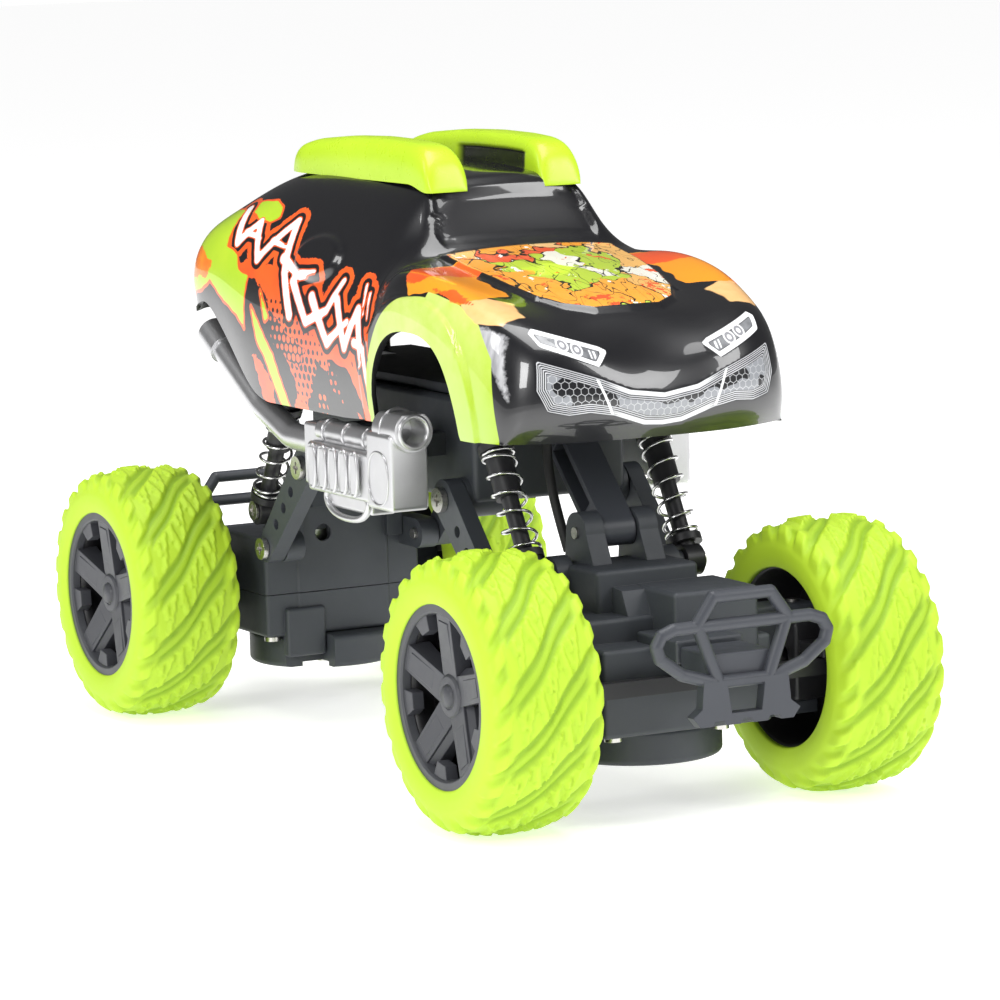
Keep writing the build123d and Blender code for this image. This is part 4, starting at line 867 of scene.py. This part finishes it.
def body_paint():
    """Gloss black with printed art: flames, claw strokes, dots, flares, lamps and grille, and a painted
    highlight on the grille's lip.
    """
    g = Graph("body_paint")
    black, white = (0.006, 0.006, 0.008), (0.86, 0.87, 0.88)
    red, amber, peach = (0.83, 0.06, 0.01), (0.90, 0.33, 0.008), (0.86, 0.42, 0.14)
    _, x, y, z = g.place()
    side_y = g.math("ABSOLUTE", y)
    drift = g.noise(0.09, 4.0)
    ragged = g.spread(g.noise(0.8, 4.0), -0.9, 0.9)

    red_tone = g.mix(drift, (0.80, 0.05, 0.01), (0.92, 0.16, 0.01))
    lime_tone = g.mix(drift, (0.36, 0.60, 0.012), (0.52, 0.70, 0.03))
    white_gap = g.attribute("white")
    halo = g.inside(g.math("ADD", white_gap, ragged), 3.9)
    red_mask = g.math("MAXIMUM", g.inside(g.math("ADD", g.attribute("red"), ragged), 0.0), halo)
    g.layer(red_mask, red_tone)
    ink_mask = g.inside(g.attribute("ink"), 0.0)
    g.layer(ink_mask, black)

    # halftone: rows of dots that grow towards the red
    pitch = 2.7
    row = g.math("FLOOR", g.times(z, 1 / (0.87 * pitch)))
    shifted = g.math("MULTIPLY_ADD", row, pitch / 2, x)
    du = g.minus(g.math("MODULO", g.math("ADD", shifted, 1000 * pitch), pitch), pitch / 2)
    dv = g.minus(g.math("MODULO", z, 0.87 * pitch), 0.435 * pitch)
    from_dot = g.radius(du, dv)
    growth = g.math("MULTIPLY_ADD", g.attribute("dots"), -0.07, 0.45)
    dot = g.inside(g.minus(from_dot, growth), 0.0, 0.18)
    dot_area = g.inside(g.attribute("dots"), 0.0)
    on_ink = g.times(g.times(dot, dot_area), ink_mask)
    on_red = g.times(g.times(dot, dot_area), g.minus(1.0, ink_mask))
    g.layer(on_ink, red_tone)
    g.layer(on_red, black)

    g.layer(g.inside(white_gap, 1.9, 0.3), black)
    lime_gap = g.attribute("lime")
    g.layer(g.inside(lime_gap, 0.9), g.mix(g.inside(lime_gap, 0.9), black, red_tone))
    g.layer(g.inside(lime_gap, 0.0), lime_tone)
    tip_gap = g.math("ADD", g.attribute("tip"), ragged)
    g.layer(g.inside(tip_gap, 0.0), g.mix(g.noise(0.25, 2.0), red_tone, amber))
    g.layer(g.inside(white_gap, 0.45), g.mix(g.inside(white_gap, 0.0), red_tone, white))
    g.layer(g.inside(white_gap, 0.0), white)

    # front fender: a lime flare, amber and red over it, pale and grey streaks in front
    streak = g.math("ADD", g.attribute("streak"), g.times(ragged, 1.6))
    grey = g.mix(g.noise(0.5, 2.0, stretch=(1.0, 1.0, 0.15)), (0.10, 0.10, 0.11), (0.62, 0.62, 0.64))
    g.layer(g.inside(streak, 0.0, 1.2), grey)
    glow = g.math("MULTIPLY_ADD", z, 1 / 24.0, -100.0 / 24.0, clamp=True)
    pale = g.mix(g.noise(0.2, 3.0), (0.44, 0.64, 0.03), (0.66, 0.74, 0.26))
    flare_tone = g.mix(glow, (0.36, 0.54, 0.008), pale)
    g.layer(g.inside(g.attribute("flare"), 0.0), flare_tone)
    g.layer(g.inside(g.attribute("peach"), 0.0, 0.4),
                   g.mix(g.noise(0.3, 2.0), peach, (0.86, 0.58, 0.26)))
    g.layer(g.inside(g.attribute("amber"), 0.0), g.mix(drift, (0.90, 0.30, 0.01), amber))
    g.layer(g.inside(g.math("ADD", g.attribute("fender_red"), ragged), 0.0, 0.5), red_tone)

    # hood panel: broken patches of colour with drawn black lines
    hood_gap = g.attribute("hood")
    cells = g.node("ShaderNodeTexVoronoi", feature="F1")
    edges = g.node("ShaderNodeTexVoronoi", feature="DISTANCE_TO_EDGE")
    skew = g.node("ShaderNodeMapping")
    skew.inputs["Rotation"].default_value = (0, 0, radians(24))
    skew.inputs["Scale"].default_value = (0.045, 0.085, 0.0)
    g.put(skew.inputs["Vector"], g.place()[0])
    warped = g.node("ShaderNodeVectorMath", operation="ADD")
    wave = g.node("ShaderNodeTexNoise")
    wave.inputs["Scale"].default_value = 0.11
    wave.inputs["Detail"].default_value = 2.0
    g.put(wave.inputs["Vector"], g.place()[0])
    g.put(warped.inputs[0], skew.outputs[0])
    g.put(warped.inputs[1], wave.outputs["Color"])
    for texture in (cells, edges):
        texture.inputs["Scale"].default_value = 1.0
        g.put(texture.inputs["Vector"], warped.outputs[0])
    pick = g.node("ShaderNodeSeparateColor")
    g.put(pick.inputs[0], cells.outputs["Color"])
    ramp = g.node("ShaderNodeValToRGB")
    ramp.color_ramp.interpolation = "CONSTANT"
    steps = [(0.0, amber), (0.22, (0.90, 0.48, 0.12)), (0.38, (0.44, 0.64, 0.02)),
             (0.58, (0.86, 0.52, 0.22)), (0.70, (0.92, 0.36, 0.01)), (0.84, red),
             (0.92, (0.88, 0.88, 0.80))]
    for k, (at, tone) in enumerate(steps):
        element = ramp.color_ramp.elements[k] if k < 2 else ramp.color_ramp.elements.new(at)
        element.position = at
        element.color = (*tone, 1)
    g.put(ramp.inputs[0], pick.outputs[0])
    panel = g.mix(g.noise(0.35, 4.0), ramp.outputs[0], g.mix(0.2, ramp.outputs[0], (0.9, 0.7, 0.3)))
    drawn = g.math("LESS_THAN", edges.outputs["Distance"], g.spread(g.noise(0.12, 2.0), -0.05, 0.075))
    sketch = g.noise(0.07, 2.0, stretch=(0.5, 1.6, 1.0))
    for level in (0.44, 0.52, 0.60):
        drawn = g.math("MAXIMUM", drawn, g.between(sketch, level, level + 0.006, 0.004))
    splash = g.math("GREATER_THAN", g.noise(0.16, 5.0, 0.7), 0.60)
    panel = g.mix(splash, panel, (0.86, 0.10, 0.02))
    panel = g.mix(drawn, panel, (0.02, 0.015, 0.01))
    blots = g.math("GREATER_THAN", g.noise(0.13, 4.0, 0.65, stretch=(1.0, 1.4, 1.0)), 0.635)
    panel = g.mix(blots, panel, (0.93, 0.93, 0.86))
    g.layer(g.inside(hood_gap, -0.7), panel)

    # headlamps: a white frame round a dark glass with two round lamps
    lamp_gap = g.attribute("lamp")
    g.layer(g.inside(lamp_gap, 0.0), black)
    glass = g.mix(g.noise(0.4, 2.0), (0.03, 0.03, 0.035), (0.35, 0.36, 0.38))
    g.layer(g.inside(lamp_gap, -1.3), glass)
    g.layer(g.between(lamp_gap, -1.15, -0.12), white)
    for ly, lz in ((21.6, 116.9), (25.0, 118.2)):
        radius = g.radius(g.minus(side_y, ly), g.minus(z, lz))
        front = g.math("GREATER_THAN", x, 90.0)
        g.layer(g.times(g.between(radius, 1.15, 1.6), front), white)
        g.layer(g.times(g.inside(radius, 1.1), front), (0.25, 0.25, 0.27))
        g.layer(g.times(g.inside(radius, 0.55), front), white)
    for low, high in ((16.9, 17.5), (18.1, 18.5)):
        bar = g.times(g.between(side_y, low, high), g.inside(lamp_gap, -1.6))
        g.layer(bar, white)

    # grille: silver pinstripes round a honeycomb in three bays, with a painted highlight on its lip
    gap = g.attribute("grille")
    silver = g.mix(g.noise(0.12, 2.0), (0.30, 0.31, 0.33), (0.82, 0.83, 0.85))
    g.layer(g.inside(gap, 0.0), black)
    for k in range(5):
        edge = -0.10 - 0.48 * k
        g.layer(g.between(gap, edge - 0.22, edge, 0.1), silver)
    web = hex_web(g, y, z, 1.9, 0.24)
    bay = g.inside(gap, -2.4)
    lighter = g.math("GREATER_THAN", g.noise(0.09, 1.5), 0.52)
    back = g.mix(lighter, (0.008, 0.008, 0.01), (0.26, 0.27, 0.29))
    g.layer(bay, g.mix(web, back, silver))
    lean = g.math("MULTIPLY_ADD", g.minus(z, 104.0), -0.42, side_y)
    rib = g.times(g.between(lean, 15.5, 16.2), g.inside(gap, -0.4))
    g.layer(rib, white)
    # painted highlight: a white band just inside the grille's edge near the middle, standing in for
    # light caught by its lip
    lip_low, lip_high = g.inside(gap, -0.2), g.inside(side_y, 13.0, 6.0)
    painted_lip_highlight = g.times(g.times(lip_low, g.minus(1.0, g.inside(gap, -1.1))),
                      lip_high)
    g.layer(g.times(painted_lip_highlight, g.math("GREATER_THAN", x, 95.0)), white)

    g.set(Base_Color=g.painted, Roughness=g.spread(g.noise(0.6, 3.0), 0.26, 0.34))
    g.shader.inputs["Coat Weight"].default_value = 1.0
    g.shader.inputs["Coat Roughness"].default_value = 0.025
    g.shader.inputs["Coat IOR"].default_value = 1.5
    g.bump(g.noise(0.16, 2.0), 0.05, 0.25)
    return g.material


def make_body(paint, inner_paint):
    columns = 120
    half = body_half(columns, 0.85)
    full = np.concatenate([half, (half * np.array([1, -1, 1]))[:, -2::-1]], 1)
    rows, across = full.shape[:2]
    normal = grid_normals(full)
    if normal[rows // 2, columns - 1, 2] < 0:
        normal = -normal
    outer = full + normal * shape_details(full)[..., None]
    inner = outer - 1.3 * grid_normals(outer) * np.sign(grid_normals(outer)[rows // 2, columns - 1, 2])
    inner[..., 0] = np.minimum(inner[..., 0], outer[..., 0] + 0.2)
    inner[..., 1] = np.clip(inner[..., 1], -41.4, 41.4)
    inner[..., 2] = np.maximum(inner[..., 2], 94.0)
    outer[..., 2] = np.maximum(outer[..., 2], 93.2)
    skin = outer.reshape(-1, 3)
    faces = grid_faces(rows, across, flip=True)
    obj = piece("body_painted_shell", skin, faces, "chassis", "body_paint", paint, ["body_shell"])
    for art in (side_art(outer), front_art(outer)):
        for name, values in art.items():
            set_attribute(obj, name, values.reshape(-1))
    edge = [r * across for r in range(rows)]
    edge += [(rows - 1) * across + c for c in range(1, across)]
    edge += [r * across + across - 1 for r in range(rows - 2, -1, -1)]
    edge += [c for c in range(across - 2, 0, -1)]
    lining = inner.reshape(-1, 3)
    start, n = len(lining), len(edge)
    inner_faces = grid_faces(rows, across)
    inner_faces += [(start + k, start + (k + 1) % n, edge[(k + 1) % n], edge[k]) for k in range(n)]
    piece("body_lining", np.concatenate([lining, skin[edge]]), inner_faces, "chassis", "body_paint",
          inner_paint)


# ---------------------------------------------------------------- engine trim
def hoop(corners, normal, radius, rounds=3):
    """A closed round bar along flat corners, with the corners rounded off."""
    path = np.array(corners, float)
    for _ in range(rounds):
        ahead = np.roll(path, -1, axis=0)
        path = np.stack([0.75 * path + 0.25 * ahead, 0.25 * path + 0.75 * ahead], 1).reshape(-1, 3)
    normal = np.array(normal, float)
    along = np.roll(path, -1, axis=0) - np.roll(path, 1, axis=0)
    along /= np.linalg.norm(along, axis=1, keepdims=True)
    beside = np.cross(along, normal)
    ring = 10
    phi = np.arange(ring) * 2 * pi / ring
    around = np.cos(phi)[None, :, None] * normal + np.sin(phi)[None, :, None] * beside[:, None]
    verts = (path[:, None] + radius * around).reshape(-1, 3)
    return verts, grid_faces(len(path), ring, wrap_rows=True, wrap_columns=True)


def collar(x, y, z, radius, bar):
    """A round bar bent into a ring about a line along X."""
    turns = [2 * pi * k / 20 for k in range(20)]
    return hoop([(x, y + radius * cos(t), z + radius * sin(t)) for t in turns], (1, 0, 0), bar, 1)


def side_hoop(y, corners, bar):
    """A round bar along corners (x, z) on a face that looks sideways."""
    return hoop([(x, y, z) for x, z in corners], (0, 1, 0), bar)


def make_engine_trim(material):
    """Rounded rib frames, the tray's loop, pipe collars and the mouth's rim."""
    parts = []
    for k in range(5):
        low, high = -3.4 + 6.2 * k, 0.6 + 6.2 * k
        parts.append(side_hoop(44.3, [(low, 74.4), (high, 74.4), (high, 85.6), (low, 85.6)], 0.55))
    parts.append(side_hoop(42.2, [(1, 75), (29, 75), (25, 67.4), (5, 67.4)], 0.9))
    parts.append(side_hoop(44.0, [(31.4, 73.4), (42.6, 73.4), (42.6, 87.0), (31.4, 87.0)], 0.35))
    parts += [collar(x, 39.0, 88.6, 3.1, 0.5) for x in (0.5, 12.5, 24.5)]
    parts.append(collar(46.0, 38.0, 92.5, 4.1, 0.65))
    parts.append(collar(37.0, 38.0, 92.5, 5.3, 0.5))
    verts, faces = join(parts)
    for side_name, side in (("left", 1), ("right", -1)):
        piece("engine_trim_" + side_name, verts * np.array([1, side, 1]), faces, "chassis",
              "silver_plastic", material)


# ---------------------------------------------------------------- roof pods
def make_pods(lime):
    """Two long humps on the roof, each with a steep nose and a dark opening on its inner face."""
    outline = [(-56, 155.0), (-55, 158.4), (-51, 160.9), (-42, 162.6), (-26, 163.8), (-8, 164.3),
               (8, 164.1), (18, 163.5), (22.6, 162.4), (25.4, 159.8), (27.0, 156.0), (28.2, 151.9)]
    crest = smoothed(resampled(np.array(outline, float), 90), 5)
    across = 41
    turn = np.linspace(-1, 1, across)
    for side_name, side in (("left", 1), ("right", -1)):
        verts = np.zeros((len(crest), across, 3))
        recess = np.zeros((len(crest), across))
        for r, (x, top) in enumerate(crest):
            foot = 153.2 - 1.9 * float(smoothstep(np.array(x), 16, 27))
            nose = max(0.0, (x - 25.0) / 3.2)
            tail = max(0.0, (-46.0 - x) / 10.0)
            half = 6.1 * (1 - 0.16 * nose ** 2.5 - 0.30 * tail ** 2)
            rise = max(top - foot, 0.15)
            for c, t in enumerate(turn):
                bend = abs(t) ** 0.8 * (pi / 2)
                y = np.sign(t) * half * np.sin(bend) ** 0.55
                z = foot + rise * np.cos(bend) ** 0.5 if abs(t) < 1 else foot
                inner = t < -0.55
                if inner and -21 < x < 19:
                    depth = smoothstep(np.array(-t), 0.62, 0.70) * smoothstep(np.array(x), -21, -18)
                    depth = depth * smoothstep(np.array(-x), -19, -16) * (1 if t > -0.99 else 0.3)
                    y += 1.1 * depth
                    recess[r, c] = depth
                verts[r, c] = (x, side * (16.6 + y), z)
        faces = grid_faces(len(crest), across)
        last = (len(crest) - 1) * across
        faces += [tuple(range(across)), tuple(range(last, last + across))]
        obj = piece("roof_pod_" + side_name, verts.reshape(-1, 3), faces, "chassis", "lime_plastic",
                    lime, ["roof_pods"] if side > 0 else [])
        set_attribute(obj, "recess", recess.reshape(-1))


def pod_plastic():
    """Lime plastic that turns black inside the openings of the roof pods."""
    g = Graph("pod_plastic")
    tone = g.mix(g.noise(0.06, 3.0), (0.40, 0.62, 0.012), (0.50, 0.72, 0.03))
    g.set(Base_Color=g.mix(g.attribute("recess"), tone, (0.01, 0.01, 0.012)),
          Roughness=g.spread(g.noise(0.4, 3.0), 0.22, 0.36))
    g.bump(g.noise(0.4, 1.0), 0.05, 0.05)
    return g.material


# ---------------------------------------------------------------- finishes of the CAD nodes
def wrap_film():
    g = Graph("battery_wrap")
    g.set(Base_Color=g.mix(g.noise(0.1, 4.0), (0.03, 0.09, 0.26), (0.06, 0.15, 0.36)),
          Roughness=g.spread(g.noise(0.5, 3.0), 0.18, 0.36))
    g.bump(g.noise(0.5, 4.0), 0.3, 0.15, 0.2)
    return g.material


def solder_mask():
    g = Graph("board")
    track = g.math("GREATER_THAN", g.noise(0.5, 1.0, stretch=(1.0, 0.25, 1.0)), 0.56)
    g.set(Base_Color=g.mix(track, (0.01, 0.12, 0.05), (0.03, 0.24, 0.10)),
          Roughness=g.spread(g.noise(1.0, 2.0), 0.3, 0.45))
    g.bump(track, 0.4, 0.05, 0.1)
    return g.material


def dress_cad(materials):
    """Each CAD node that still shows takes the finish of its slot in the record."""
    slots = {part["node"]: part["material_slot"] for part in frame["record"]["subparts"]}
    for name, obj in NODES.items():
        obj.data.materials.clear()
        obj.data.materials.append(materials[slots[name]])


# Moulded pieces by slot: colour, roughness, variation, grain, relief and edge rounding in mm.
PLASTICS = {
    "lime_plastic": ((0.50, 0.72, 0.03), 0.36, 0.08),
    "rim_plastic": ((0.048, 0.050, 0.058), 0.42, 0.10, 8.0, 0.25, 0.2),
    "bumper_plastic": ((0.042, 0.046, 0.056), 0.44, 0.10, 9.0, 0.3, 0.35),
    "housing_plastic": ((0.040, 0.045, 0.053), 0.52, 0.12, 9.0, 0.45, 0.3),
    "black_plastic": ((0.014, 0.014, 0.016), 0.45, 0.15, 9.0, 0.3, 0.25),
    "white_nylon": ((0.75, 0.75, 0.72), 0.42, 0.04, 7.0, 0.2, 0.1),
    "sleeve_rubber": ((0.014, 0.014, 0.014), 0.6, 0.2, 5.0, 0.5, 0.1),
    "red_insulation": ((0.52, 0.02, 0.014), 0.5, 0.1, 5.0, 0.3, 0.05),
}
# Metal pieces by slot: colour, roughness, scratch direction, relief and edge rounding in mm.
METALS = {
    "screw_steel": ((0.66, 0.64, 0.61), 0.28, (3.0, 3.0, 3.0), 0.12, 0.15),
    "spring_steel": ((0.70, 0.70, 0.70), 0.22, (4.0, 4.0, 4.0), 0.1, 0.0),
    "motor_steel": ((0.52, 0.52, 0.53), 0.32, (0.5, 6.0, 6.0), 0.2, 0.15),
    "shaft_steel": ((0.48, 0.48, 0.49), 0.30, (6.0, 0.5, 6.0), 0.2, 0.1),
}


def make_materials():
    made = {name: moulded_plastic(name, *values) for name, values in PLASTICS.items()}
    made.update({name: metal(name, *values) for name, values in METALS.items()})
    made["body_paint"] = moulded_plastic("shell_lining", (0.018, 0.018, 0.02), 0.45, relief=0.2)
    # the second colour of lime_rubber is the painted shade in the tread's hollows
    made["lime_rubber"] = soft_rubber("lime_rubber", (0.50, 0.70, 0.03), (0.20, 0.35, 0.006))
    made["silver_plastic"] = silver_plastic()
    made["battery_wrap"] = wrap_film()
    made["board"] = solder_mask()
    return made


def silver_plastic():
    """Silver sprayed plastic: satin, with a little flake."""
    g = Graph("silver_plastic")
    flake = g.noise(14.0, 1.0)
    g.set(Base_Color=g.mix(g.noise(0.1, 4.0), (0.50, 0.50, 0.51), (0.66, 0.66, 0.67)), Metallic=0.85,
          Roughness=g.spread(flake, 0.24, 0.36))
    g.bump(flake, 0.15, 0.02, 0.45)
    return g.material


# ---------------------------------------------------------------- the car
make_camera()
make_studio()
finishes = make_materials()
dress_cad(finishes)
make_tyres(finishes["lime_rubber"])
make_rims(finishes["rim_plastic"], finishes["black_plastic"])
make_springs(finishes["spring_steel"])
make_engine_trim(finishes["silver_plastic"])
make_body(body_paint(), finishes["body_paint"])
make_pods(pod_plastic())

bpy.context.view_layer.update()
